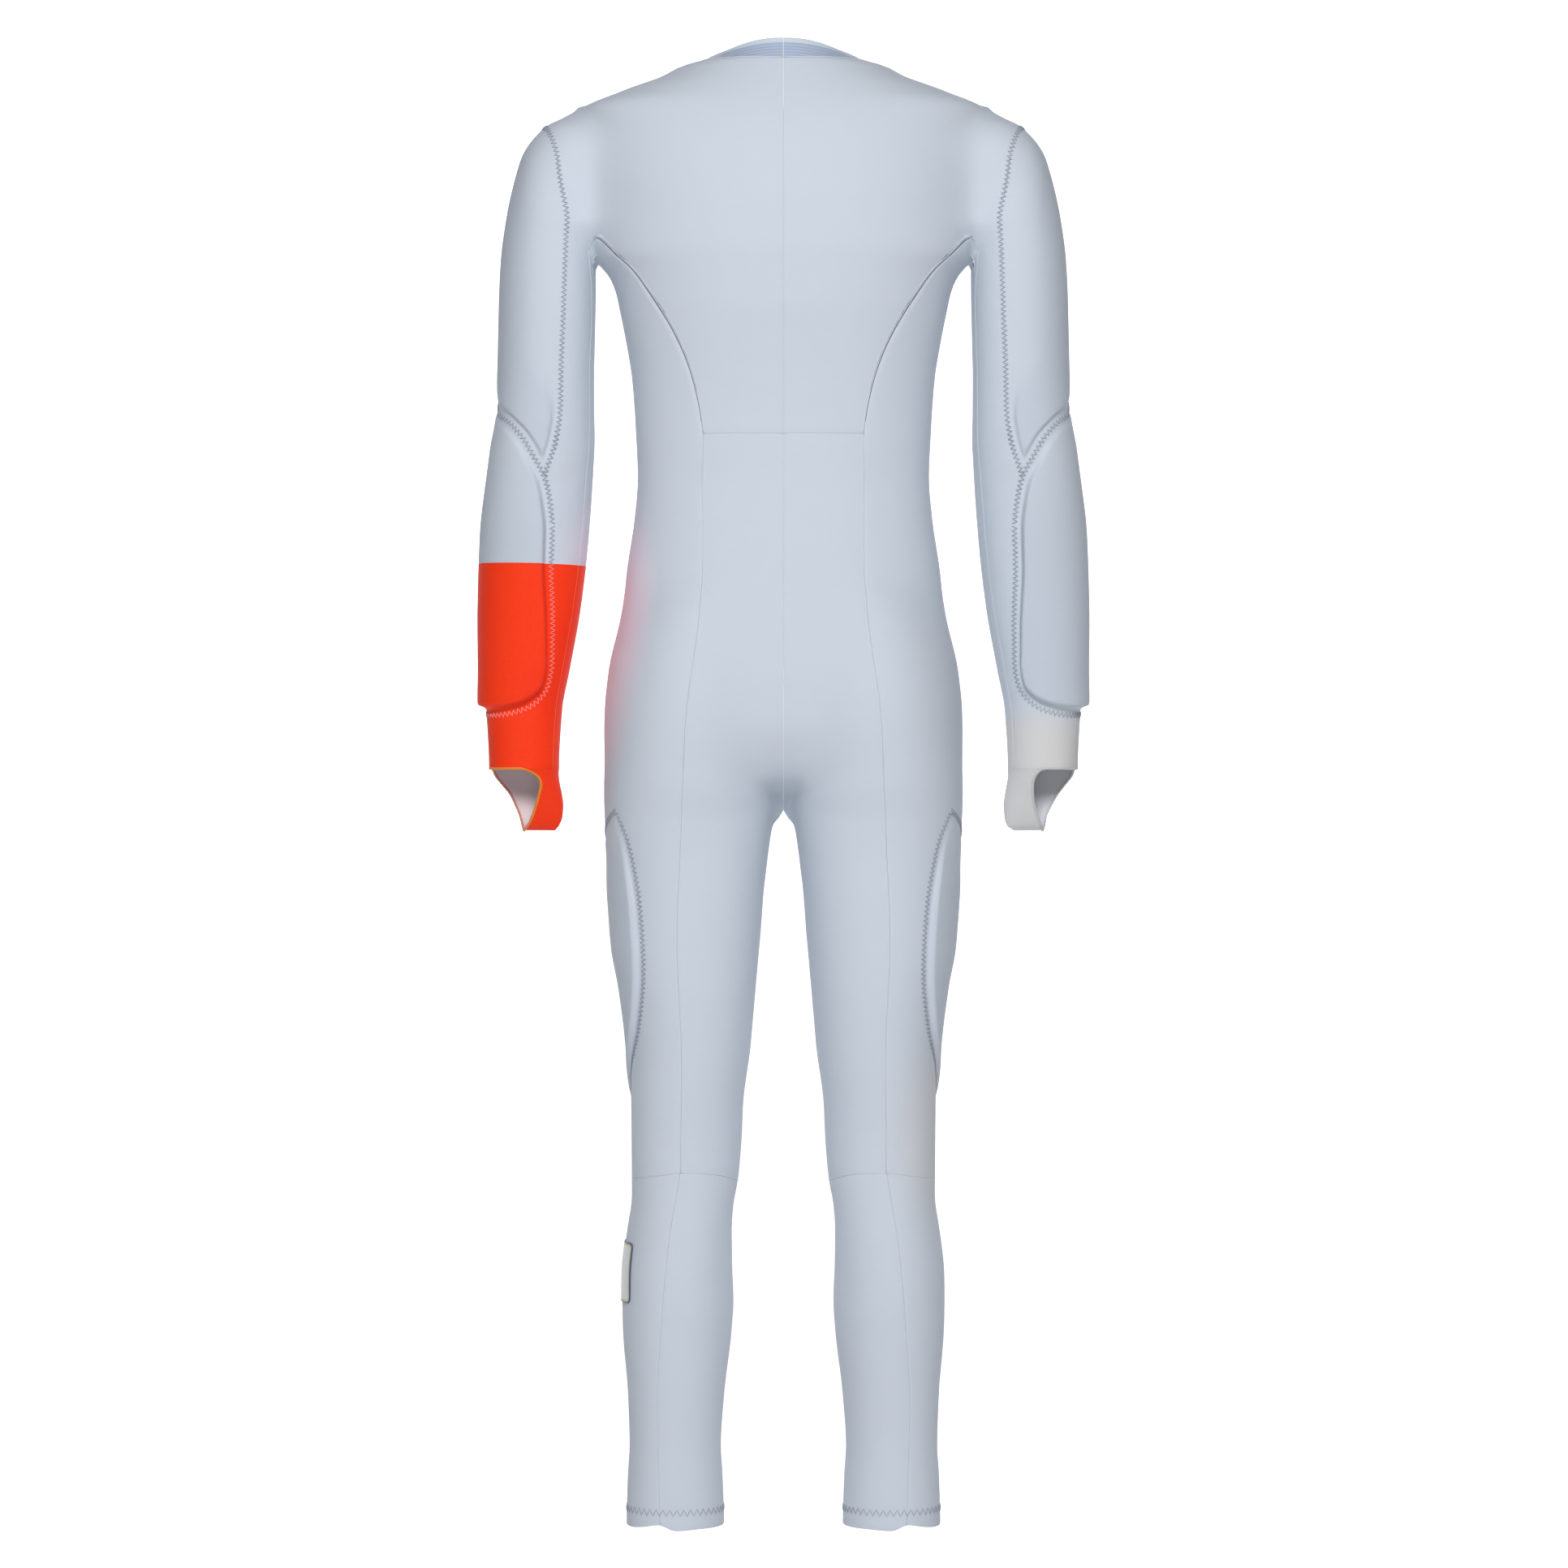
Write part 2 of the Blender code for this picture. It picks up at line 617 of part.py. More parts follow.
neck_back = at_depth(COLLAR_SEAM_BACK)
neck_front = at_depth(COLLAR_SEAM_FRONT)
neck_back[0, 0] = 0.0
side_points = from_table(SIDE_SEAM)
sleeve_points = from_table(SLEEVE_SEAM_UPPER)
armpit_back = side_points[0]
armpit_front = to_front(side_points[:1], TRUNK)[0]
waist_side = side_points[7]

collar_seam_back = divide(trace(neck_back), COLLAR_STEPS)
collar_seam_front = divide(trace(neck_front), COLLAR_STEPS)

# the shoulder seam lies just in front of the ridge
shoulder_top = settle(np.array([[0.2340, -0.010, -0.066]]))[0]
shoulder_guess = np.array([neck_back[-1], [0.115, 0.000, -0.014], [0.160, -0.006, -0.031],
                           [0.203, -0.009, -0.050], shoulder_top])
shoulder_guess[1:-1] = settle(shoulder_guess[1:-1])
shoulder_seam = divide(trace(shoulder_guess), SHOULDER_STEPS)

# centre back
centre_top = settle(np.array([neck_back[0], [0, 0.084, -0.050], [0, 0.104, -0.110], [0, 0.11, -0.190]]))
centre_low = settle(np.array([[0, 0.11, -0.190], [0, 0.10, -0.280], [0, 0.085, -0.3731]]))
seat = settle(np.array([[0, 0.085, -0.3731], [0, 0.085, -0.45], [0, 0.10, -0.56], [0, 0.10, -0.64],
                        [0, 0.06, -0.71], [0, 0.008, -0.735]]))
crotch_front = settle(np.array([[0, 0.008, -0.735], [0, -0.05, -0.715], [0, -0.09, -0.65],
                                [0, -0.10, -0.613]]))
centre_back_top = divide(trace(centre_top), YOKE_TOP_ROWS)
centre_back_low = divide(trace(centre_low), TORSO_ROWS)
centre_seat = divide(trace(seat), HIP_ROWS)
for line in (centre_back_top, centre_back_low, centre_seat):
    line[:, 0] = 0.0
centre_back_low[0] = centre_back_top[-1]
centre_seat[0] = centre_back_low[-1]

# zip edge
ZIP = ZIP_HALF_WIDTH
zip_top_guess = settle(np.array([neck_front[-1], [ZIP, -0.09, -0.09], [ZIP, -0.11, -0.14],
                                 [ZIP, -0.12, -0.190]]))
zip_mid_guess = settle(np.array([[ZIP, -0.12, -0.190], [ZIP, -0.115, -0.28], [ZIP, -0.102, -0.374]]))
zip_low_guess = settle(np.array([[ZIP, -0.102, -0.374], [ZIP, -0.10, -0.45], [ZIP, -0.10, -0.53],
                                 [ZIP, -0.10, -0.600]]))
zip_top = divide(trace(zip_top_guess), YOKE_TOP_ROWS)
zip_mid = divide(trace(zip_mid_guess), TORSO_ROWS)
zip_low = divide(trace(zip_low_guess), 7)
for line in (zip_top, zip_mid, zip_low):
    line[:, 0] = ZIP
zip_mid[0] = zip_top[-1]
zip_low[0] = zip_mid[-1]
zip_top[0] = collar_seam_front[-1]
below_zip = divide(trace(crotch_front), 3)[::-1]
below_zip[:, 0] = 0.0
crotch = centre_seat[-1]
below_zip[-1] = crotch
front_seat = np.concatenate([zip_low, below_zip])
assert len(front_seat) == HIP_ROWS + 1

# side seams
side_back_top = divide(trace(side_points[:8]), TORSO_ROWS)
side_back_hip = divide(trace(side_points[7:13]), HIP_ROWS)
side_back_thigh = divide(trace(side_points[12:17]), PAD_EDGE)
side_back_knee = divide(trace(side_points[16:]), BELOW_PAD)
side_back_hip[0] = side_back_top[-1]
side_back_thigh[0] = side_back_hip[-1]
side_back_knee[0] = side_back_thigh[-1]


def turned(line, rows, count):
    return divide(trace(to_front(line, rows)), count)


side_front_top = turned(side_back_top, TRUNK, TORSO_ROWS)
side_front_top[0] = armpit_front
side_front_hip = turned(side_back_hip, TRUNK, HIP_ROWS)
side_front_thigh = turned(side_back_thigh, LEG, PAD_EDGE)
side_front_knee = turned(side_back_knee, LEG, BELOW_PAD)
side_front_hip[0] = side_front_top[-1]
side_front_thigh[0] = side_front_hip[-1]
side_front_knee[0] = side_front_thigh[-1]

# the line over the armpit, back to front, on the crest between arm and trunk
crest = settle(np.array([[0.1840, 0.03, -0.200], [0.1842, 0.0, -0.200], [0.1840, -0.03, -0.200]]))
armpit_line = drawn([[armpit_back], crest, [armpit_front]], 2 * SIDE_HALF)

# waist and levels
waist_guess = seen([0, 26, 54, 79.4], [-366.6, -366.6, -366.8, -367.2])
waist_guess[0] = centre_back_low[-1]
waist_guess[-1] = side_back_top[-1]
waist_seam = divide(trace(waist_guess), TORSO_COLUMNS)
chest_back = drawn([[centre_back_top[-1]], seen([60, 120, 160], [-188, -184, -178]), [armpit_back]],
                    TORSO_COLUMNS)
chest_front = drawn([[zip_top[-1]], seen([60, 120, 160], [-188, -184, -178], -1.0), [armpit_front]],
                     TORSO_COLUMNS)

# sleeve
zigzag_top_points = np.concatenate([[shoulder_top], sleeve_points[1:]])
zigzag_back_top = divide(trace(zigzag_top_points), YOKE_TOP_ROWS)
zigzag_back_upper = divide(trace(from_table(SLEEVE_SEAM_LOWER)), UPPER_SLEEVE_ROWS)
zigzag_back_upper[0] = zigzag_back_top[-1]
zigzag_back_side = divide(trace(from_table(FOREARM_SEAM_SIDE)), FOREARM_ROWS)
zigzag_back_side[0] = zigzag_back_upper[-1]
pad_foot = round_limb(ARM, [(-643.6, 0)])
zigzag_back_foot = drawn([from_table(FOREARM_SEAM_FOOT), pad_foot], FOOT_STEPS)
zigzag_back_foot[0] = zigzag_back_side[-1]
elbow_tip = round_limb(ARM, [(-338.0, 0)])
elbow_back = drawn([from_table(ELBOW_SEAM), elbow_tip], ARM_HALF)
elbow_back[0] = zigzag_back_upper[-1]


front_top_points = to_front(sleeve_points[1:], ARM)
zigzag_front_top = drawn([[shoulder_top], front_top_points], YOKE_TOP_ROWS)
zigzag_front_upper = turned(zigzag_back_upper, ARM, UPPER_SLEEVE_ROWS)
zigzag_front_upper[0] = zigzag_front_top[-1]
zigzag_front_side = turned(zigzag_back_side, ARM, FOREARM_ROWS)
zigzag_front_side[0] = zigzag_front_upper[-1]
zigzag_front_foot = turned(zigzag_back_foot, ARM, FOOT_STEPS)
zigzag_front_foot[0] = zigzag_front_side[-1]
zigzag_front_foot[-1] = zigzag_back_foot[-1]
elbow_front = turned(elbow_back, ARM, ARM_HALF)
elbow_front[0] = zigzag_front_upper[-1]
elbow_front[-1] = elbow_back[-1]

UNDER_BACK = [(-232, 157), (-300, 156), (-410, 152)]
UNDER_FRONT = [(-232, 210), (-300, 206), (-410, 208)]
under_back_upper = drawn([[armpit_back], round_limb(ARM, UNDER_BACK)], UPPER_SLEEVE_ROWS)
under_front_upper = drawn([[armpit_front], round_limb(ARM, UNDER_FRONT)], UPPER_SLEEVE_ROWS)
under_back_side = divide(trace(round_limb(ARM, [(-410, 152), (-500, 150), (-600, 148)])), FOREARM_ROWS)
under_front_side = divide(trace(round_limb(ARM, [(-410, 208), (-500, 210), (-600, 212)])), FOREARM_ROWS)
under_back_cuff = drawn([round_limb(ARM, [(-600, 148), (-650, 148), (CUFF_LEVEL, 148)])],
                        FOOT_STEPS + CUFF_ROWS)
under_front_cuff = drawn([round_limb(ARM, [(-600, 212), (-650, 212), (CUFF_LEVEL, 212)])],
                         FOOT_STEPS + CUFF_ROWS)
under_back_side[0], under_front_side[0] = under_back_upper[-1], under_front_upper[-1]
under_back_cuff[0], under_front_cuff[0] = under_back_side[-1], under_front_side[-1]
outer_cuff = drawn([zigzag_back_foot[-1:], round_limb(ARM, [(-670, 0), (CUFF_LEVEL, 0)])], CUFF_ROWS)
outer_cuff[0] = zigzag_back_foot[-1]
zigzag_front_foot[-1] = zigzag_back_foot[-1]


def across(a, b, count, middle=None):
    """A line on the form from one point to another, by way of a point when one is given."""
    between = (a + b) / 2 if middle is None else np.asarray(middle, float)
    between = settle(between[None])[0]
    line = trace(np.array([a, between, b]))
    out = divide(line, count)
    out[0], out[-1] = a, b
    return out


arm_back = across(armpit_back, zigzag_back_top[-1], SLEEVE_COLUMNS)
arm_front = across(armpit_front, zigzag_front_top[-1], SLEEVE_COLUMNS)
elbow_under_back = across(under_back_upper[-1], zigzag_back_upper[-1], SLEEVE_COLUMNS)
elbow_under_front = across(under_front_upper[-1], zigzag_front_upper[-1], SLEEVE_COLUMNS)
wrist_under_back = across(under_back_side[-1], zigzag_back_side[-1], SLEEVE_COLUMNS)
wrist_under_front = across(under_front_side[-1], zigzag_front_side[-1], SLEEVE_COLUMNS)
CUFF = CUFF_LEVEL
cuff_back = divide(trace(round_limb(ARM, [(CUFF, 148), (CUFF, 100), (CUFF, 50), (CUFF, 0)])), SLEEVE_COLUMNS)
cuff_front = drawn([round_limb(ARM, [(CUFF, 212), (CUFF, 260), (CUFF, 310), (CUFF, 360)])], SLEEVE_COLUMNS)
cuff_inner = divide(trace(round_limb(ARM, [(CUFF, 148), (CUFF, 180), (CUFF, 212)])), SIDE_HALF)
cuff_back[0], cuff_back[-1] = under_back_cuff[-1], outer_cuff[-1]
cuff_front[0], cuff_front[-1] = under_front_cuff[-1], outer_cuff[-1]
cuff_inner[0], cuff_inner[-1] = under_back_cuff[-1], under_front_cuff[-1]

# leg
inseam_points = np.concatenate([[crotch], round_limb(LEG, INSEAM)])
inseam = divide(trace(inseam_points), LEG_ROWS + BELOW_PAD)
crotch_level_back = drawn([[crotch], settle(np.array([[0.030, 0.058, -0.735], [0.065, 0.085, -0.728]])),
                           side_back_hip[-1:]], TORSO_COLUMNS)
crotch_level_front = drawn([[crotch], settle(np.array([[0.030, -0.055, -0.735], [0.065, -0.085, -0.728]])),
                            side_front_hip[-1:]], TORSO_COLUMNS)
KNEE_BACK = [(-1104.5, 184), (-1099.0, 150), (-1093.0, 115)]
knee_in_back = drawn([inseam[-1:], round_limb(LEG, KNEE_BACK)[1:], side_back_knee[-1:]], TORSO_COLUMNS)
knee_in_front = drawn([inseam[-1:], round_limb(LEG, [(-1099.0, 218), (-1093.0, 250)]),
                                             side_front_knee[-1:]], TORSO_COLUMNS)
knee_outer_mid = round_limb(LEG, [(-1102.0, 0)])
knee_out_back = drawn([side_back_knee[-1:], round_limb(LEG, [(-1097.0, 45)]), knee_outer_mid], SIDE_HALF)
knee_out_front = drawn([knee_outer_mid, round_limb(LEG, [(-1097.0, -45)]), side_front_knee[-1:]], SIDE_HALF)

# thigh pad
pad_back_line = trace(np.concatenate([from_table(THIGH_PAD_BACK)[:-1], round_limb(LEG, THIGH_PAD_BACK_END)]))
pad_front_line = trace(np.concatenate([from_table(THIGH_PAD_BACK)[:1], round_limb(LEG, THIGH_PAD_FRONT[1:])]))
pad_back = divide(pad_back_line, PAD_EDGE)
pad_front = divide(pad_front_line, PAD_EDGE)
pad_front[0], pad_front[-1] = pad_back[0], pad_back[-1]
hip_back = across(side_back_hip[-1], pad_back[0], SIDE_HALF, settle(np.array([[0.137, 0.07, -0.730]]))[0])
hip_front = drawn([pad_back[:1], round_limb(LEG, [(-730, 0), (-728, -40)]), side_front_hip[-1:]], SIDE_HALF)
hip_front[0], hip_front[-1] = pad_back[0], side_front_hip[-1]
below_back = across(side_back_thigh[-1], pad_back[-1], SIDE_HALF, round_limb(LEG, [(-1048, 28)])[0])
below_front = across(pad_back[-1], side_front_thigh[-1], SIDE_HALF)
side_middle_top = drawn([[armpit_line[SIDE_HALF]], settle(np.array([
    [0.168, 0.0, -0.225], [0.155, 0.0, -0.278], [0.1455, 0.0, -0.366]]))], TORSO_ROWS)
side_middle_hip = drawn([side_middle_top[-1:], settle(np.array([
    [0.146, 0.0, -0.45], [0.165, 0.0, -0.56], [0.174, 0.015, -0.66]])), pad_back[:1]], HIP_ROWS)
waist_mid_back = across(side_back_top[-1], side_middle_top[-1], SIDE_HALF, [0.122, 0.055, -0.366])
waist_mid_front = across(side_middle_top[-1], side_front_top[-1], SIDE_HALF, [0.122, -0.06, -0.366])
below_middle = across(pad_back[-1], knee_outer_mid[0], BELOW_PAD)

# shank
shank_back = drawn([side_back_knee[-1:], from_table(SHANK_SEAM)[1:]], SHANK_ROWS)
shank_front = turned(shank_back, LEG, SHANK_ROWS)
shank_front[0] = side_front_knee[-1]
outer_middle = drawn([knee_outer_mid, round_limb(LEG, [(-1200, 0), (-1320, 0), (HEM_LEVEL, 0)])], SHANK_ROWS)
inner_middle = drawn([inseam[-1:], round_limb(LEG, [(-1200, 180), (-1320, 180), (HEM_LEVEL, 180)])], SHANK_ROWS)


def hem_line(a, b, count, degrees):
    line = drawn([[a], round_limb(LEG, [(HEM_LEVEL, d) for d in degrees]), [b]], count)
    line[0], line[-1] = a, b
    return line


hem_out_back = hem_line(shank_back[-1], outer_middle[-1], SIDE_HALF, (35,))
hem_out_front = hem_line(outer_middle[-1], shank_front[-1], SIDE_HALF, (-35,))
hem_in_back = hem_line(inner_middle[-1], shank_back[-1], TORSO_COLUMNS, (150, 115, 85))
hem_in_front = hem_line(inner_middle[-1], shank_front[-1], TORSO_COLUMNS, (210, 245, 275))

# Panels
back_yoke = Panel()
top_back = join(collar_seam_back, shoulder_seam)
back_yoke.add(patch(top_back, join(chest_back, arm_back), centre_back_top, zigzag_back_top))
back_yoke.add(patch(chest_back, waist_seam, centre_back_low, side_back_top))
back_yoke.add(patch(arm_back, elbow_under_back, under_back_upper, zigzag_back_upper))
back_yoke.add(patch(elbow_under_back, wrist_under_back, under_back_side, zigzag_back_side))
back_yoke.add(patch(wrist_under_back, cuff_back, under_back_cuff, join(zigzag_back_foot, outer_cuff),
                    5, 0.006))
both("back_yoke", *walled(back_yoke), PALE)

front = Panel()
top_front = join(collar_seam_front[::-1], shoulder_seam)
front.add(patch(top_front, join(chest_front, arm_front), zip_top, zigzag_front_top))
waist_front = drawn([[zip_mid[-1]], seen([26, 54], [-366.4, -366.8], -1.0), [side_front_top[-1]]],
                     TORSO_COLUMNS)
waist_front[0], waist_front[-1] = zip_mid[-1], side_front_top[-1]
front.add(patch(chest_front, waist_front, zip_mid, side_front_top))
front.add(patch(waist_front, crotch_level_front, front_seat, side_front_hip))
front.add(patch(crotch_level_front, knee_in_front, inseam, join(side_front_thigh, side_front_knee)))
front.add(patch(arm_front, elbow_under_front, under_front_upper, zigzag_front_upper))
front.add(patch(elbow_under_front, wrist_under_front, under_front_side, zigzag_front_side))
front.add(patch(wrist_under_front, cuff_front, under_front_cuff, join(zigzag_front_foot, outer_cuff),
                5, 0.006))
both("front", *walled(front), PALE)

back_lower = Panel()
back_lower.add(patch(waist_seam, crotch_level_back, centre_seat, side_back_hip))
back_lower.add(patch(crotch_level_back, knee_in_back, inseam, join(side_back_thigh, side_back_knee)))
both("back_lower", *walled(back_lower), PALE)

side_panel = Panel()
side_panel.add(patch(armpit_line[:SIDE_HALF + 1], waist_mid_back, side_back_top, side_middle_top))
side_panel.add(patch(armpit_line[SIDE_HALF:], waist_mid_front, side_middle_top, side_front_top))
side_panel.add(patch(waist_mid_back, hip_back, side_back_hip, side_middle_hip))
side_panel.add(patch(waist_mid_front, hip_front, side_middle_hip, side_front_hip))
side_panel.add(patch(hip_back, below_back, side_back_thigh, pad_back))
side_panel.add(patch(hip_front, below_front, pad_front, side_front_thigh))
side_panel.add(patch(below_back, knee_out_back, side_back_knee, below_middle))
side_panel.add(patch(below_front, knee_out_front, below_middle, side_front_knee))
strip_top = across(under_back_upper[1], under_front_upper[1], SIDE_HALF, round_limb(ARM, [(-226, 180)])[0])
strip_elbow = across(under_back_upper[-1], under_front_upper[-1], SIDE_HALF)
strip_wrist = across(under_back_side[-1], under_front_side[-1], SIDE_HALF)
side_panel.bridge(armpit_line, strip_top)
side_panel.add(patch(strip_top, strip_elbow, under_back_upper[1:], under_front_upper[1:]))
side_panel.add(patch(strip_elbow, strip_wrist, under_back_side, under_front_side))
side_panel.add(patch(strip_wrist, cuff_inner, under_back_cuff, under_front_cuff))
both("side_panel", *walled(side_panel), PALE)

upper_arm = Panel()
arm_outer = trace(np.concatenate([[shoulder_top], round_limb(ARM, [(-105, 0), (-160, 0), (-250, 0)]),
                                  elbow_tip]))
outer_rows = (YOKE_TOP_ROWS - ARCH_STEPS) + UPPER_SLEEVE_ROWS
arm_middle = divide(arm_outer, outer_rows)
arm_middle[0], arm_middle[-1] = shoulder_top, elbow_back[-1]
upper_arm.add(patch(zigzag_back_top[:ARCH_STEPS + 1][::-1], elbow_back,
                    join(zigzag_back_top[ARCH_STEPS:], zigzag_back_upper), arm_middle))
upper_arm.add(patch(zigzag_front_top[:ARCH_STEPS + 1][::-1], elbow_front,
                    join(zigzag_front_top[ARCH_STEPS:], zigzag_front_upper), arm_middle))
both("upper_arm_panel", *walled(upper_arm, upper_pad), PALE)

forearm = Panel()
forearm_middle = drawn([elbow_tip, round_limb(ARM, [(-430, 0), (-540, 0)]), pad_foot], FOREARM_ROWS)
forearm_middle[0], forearm_middle[-1] = elbow_back[-1], zigzag_back_foot[-1]
forearm.add(patch(elbow_back, zigzag_back_foot, zigzag_back_side, forearm_middle))
forearm.add(patch(elbow_front, zigzag_front_foot, zigzag_front_side, forearm_middle))
both("forearm_panel", *walled(forearm, forearm_pad), ORANGE, PALE)

thigh = Panel()
CORNER = 3
pad_top = join(pad_back[:CORNER + 1][::-1], pad_front[:CORNER + 1])
pad_bottom = join(pad_back[-CORNER - 1:], pad_front[-CORNER - 1:][::-1])
thigh.add(patch(pad_top, pad_bottom, pad_back[CORNER:-CORNER], pad_front[CORNER:-CORNER]))
both("thigh_panel", *walled(thigh, thigh_pad), PALE)

shank_outer = Panel()
shank_outer.add(patch(knee_out_back, hem_out_back, shank_back, outer_middle))
shank_outer.add(patch(knee_out_front, hem_out_front, outer_middle, shank_front))
both("shank_outer", *walled(shank_outer), PALE)

shank_inner = Panel()
shank_inner.add(patch(knee_in_back, hem_in_back, inner_middle, shank_back))
shank_inner.add(patch(knee_in_front, hem_in_front, inner_middle, shank_front))
both("shank_inner", *walled(shank_inner), PALE)

collar = Panel()
collar_top = join(divide(trace(at_depth(COLLAR_TOP_BACK)), COLLAR_STEPS),
                  divide(trace(at_depth(COLLAR_TOP_FRONT)), COLLAR_STEPS))
collar_foot = join(collar_seam_back, collar_seam_front)
collar_top[0, 0] = 0.0
collar_top[-1, 0] = ZIP
collar_middle = (collar_top + collar_foot) / 2
collar_middle[1:-1] = settle(collar_middle[1:-1])
collar.add(np.array([collar_top, collar_middle, collar_foot]))
both("collar", *walled(collar), PALE)


# Hand loops: a cup of cloth, open toward the outer side of the wrist
def face_normals(points, faces):
    total = np.zeros_like(points)
    for face in faces:
        a, b, c = points[face[0]], points[face[1]], points[face[2]]
        flat = np.cross(b - a, c - a)
        if len(face) == 4:
            flat = np.cross(c - a, points[face[3]] - b)
        for v in face:
            total[v] += flat
    return total / np.maximum(np.linalg.norm(total, axis=1, keepdims=True), 1e-12)


def hand_loop(rows):
    cup = Panel()
    net = []
    for height, near, inmost, far, deep, middle in rows:
        inner = HAND_LOOP_MIDDLE - inmost
        near_reach = inner if near < HAND_LOOP_MIDDLE else HAND_LOOP_OUTER
        start = math.acos(max(-1.0, min(1.0, (near - HAND_LOOP_MIDDLE) / near_reach)))
        stop = 2 * math.pi - math.acos(max(-1.0, min(1.0, (far - HAND_LOOP_MIDDLE) / HAND_LOOP_OUTER)))
        line = []
        for i in range(LOOP_STEPS + 1):
            angle = start + (stop - start) * i / LOOP_STEPS
            reach = inner if math.cos(angle) < 0 else HAND_LOOP_OUTER
            line.append((HAND_LOOP_MIDDLE + reach * math.cos(angle), middle + deep * math.sin(angle), height))
        net.append(line)
    net = np.array(net) / 1000.0
    half = LOOP_STEPS // 2
    net[-1, half:] = net[-1, :half + 1][::-1]
    cup.add(net)
    points = np.array(cup.points)
    faces = cup.nets[0]
    normals = face_normals(points, faces)
    if normals[:LOOP_STEPS, 0].sum() > 0:
        normals = -normals
    return walled(cup, normals=normals)


node("hand_loop_L", *hand_loop(HAND_LOOP_LEFT), ORANGE)
node("hand_loop_R", *mirrored(*hand_loop(HAND_LOOP_RIGHT)), WARM_WHITE)

# Front zip
tape_edge = join(np.array([collar_top[-1], collar_middle[-1], collar_foot[-1]]), zip_top, zip_mid, zip_low)
tape_centre = tape_edge.copy()
tape_centre[:, 0] = 0.0
for _ in range(3):
    tape_centre = settle(tape_centre)
    tape_centre[:, 0] = 0.0
tape_centre[-1] = below_zip[0]
tape = Panel()
tape.add(np.stack([tape_centre, tape_edge], axis=1))
both("zip_tape", *walled(tape), PALE)

# Label on the left lower leg
high, low, start, stop = LABEL
label_rows = []
for step in range(5):
    h = high + (low - high) * step / 4
    label_rows.append(round_limb(LEG, [(h, start + (stop - start) * i / 8) for i in range(9)]))
label = Panel()
label.add(np.array(label_rows))
label_points = np.array(label.points)
label_normals = outward(label_points)
label.points = list(label_points + label_normals * (LABEL_OFF + LABEL_THICK))
node("label_L", *walled(label, wall=LABEL_THICK, gap=0.0, normals=label_normals), (0.8, 0.8, 0.8))


# Slider and pull, built in the zip's own directions: across, down the zip, out from the body
slider_place = settle(np.array([[0.0, -0.070, SLIDER_HEIGHT / 1000.0]]))[0]
slider_place[0] = 0.0
slider_out = outward(slider_place[None])[0]
slider_out[0] = 0.0
slider_out /= np.linalg.norm(slider_out)
slider_down = np.array([0.0, slider_out[2], -slider_out[1]])
if slider_down[2] > 0:
    slider_down = -slider_down


def on_zip(points):
    """Points given in millimetres across, down and out, placed on the suit."""
    points = np.asarray(points, float) / 1000.0
    right = np.array([1.0, 0, 0])
    return slider_place + points[:, :1] * right + points[:, 1:2] * slider_down + points[:, 2:3] * slider_out


def ring(centre, radius, sides, turn=0.0):
    return [(centre[0] + radius * math.cos(turn + 2 * math.pi * i / sides),
             centre[1] + radius * math.sin(turn + 2 * math.pi * i / sides)) for i in range(sides)]


def plate_with_hole(points, outline, hole):
    """Triangles between an outline and a hole, both given as numbers of points in one plane."""
    flat = [[Vector((*points[i][1:3], 0.0)) for i in loop] for loop in (outline, hole)]
    order = list(outline) + list(hole)
    return [[order[i] for i in three] for three in tessellate_polygon(flat)]


def right_way(points, faces):
    """Turns single faces of a closed solid outward, by spreading from the first face."""
    solid = bmesh.new()
    corners = [solid.verts.new(p) for p in points]
    for face in faces:
        solid.faces.new([corners[i] for i in face])
    bmesh.ops.recalc_face_normals(solid, faces=solid.faces[:])
    solid.verts.index_update()
    out = [[v.index for v in face.verts] for face in solid.faces]
    solid.free()
    return out


PIN_PLACE = (1.5, SLIDER["off"] + SLIDER["thick"] + 2.1)
SIDES = 20
half, end = SLIDER["wide"] / 2, SLIDER["long"] / 2
low_face, base_top = SLIDER["off"], SLIDER["off"] + SLIDER["thick"]
lug_top = base_top + LUG["rise"]
profile = [(-half, low_face), (half, low_face), (half, lug_top), (LUG["inner"], lug_top),
               (LUG["inner"], base_top),
           (-LUG["inner"], base_top), (-LUG["inner"], lug_top), (-half, lug_top)]
points = [(x, t, n) for t in (-end, end) for x, n in profile]
pin_ring = ring(PIN_PLACE, PIN_RADIUS, SIDES)
points += [(LUG["inner"], t, n) for t, n in pin_ring] + [(-LUG["inner"], t, n) for t, n in pin_ring]
faces = [list(range(8))[::-1], list(range(8, 16))]
for i in (0, 1, 2, 4, 6, 7):
    j = (i + 1) % 8
    faces.append([i, j, j + 8, i + 8])
faces += plate_with_hole(points, [3, 4, 12, 11], list(range(16, 16 + SIDES)))
faces += plate_with_hole(points, [6, 5, 13, 14], list(range(16 + SIDES, 16 + 2 * SIDES)))
for i in range(SIDES):
    j = (i + 1) % SIDES
    faces.append([16 + i, 16 + j, 16 + SIDES + j, 16 + SIDES + i])
node("zip_slider", on_zip(points), right_way(on_zip(points), faces), METAL, 0.3)

half_thick = PULL["thick"] / 2
open_angle = math.asin(half_thick / PULL["eye"])
outline = []
for i in range(13):
    angle = open_angle + (2 * math.pi - 2 * open_angle) * i / 12
    outline.append((PULL["eye"] * math.cos(angle), PULL["eye"] * math.sin(angle)))
outline += [(PULL["long"] - 0.5, -half_thick), (PULL["long"], 0.0), (PULL["long"] - 0.5, half_thick)]
tilt = math.radians(PULL_TILT)
hole = ring((0.0, 0.0), PIN_RADIUS + 0.075, SIDES)


def tilted(t, n):
    along = PIN_PLACE[0] + t * math.cos(tilt) - n * math.sin(tilt)
    off = PIN_PLACE[1] + t * math.sin(tilt) + n * math.cos(tilt)
    return (along, off)


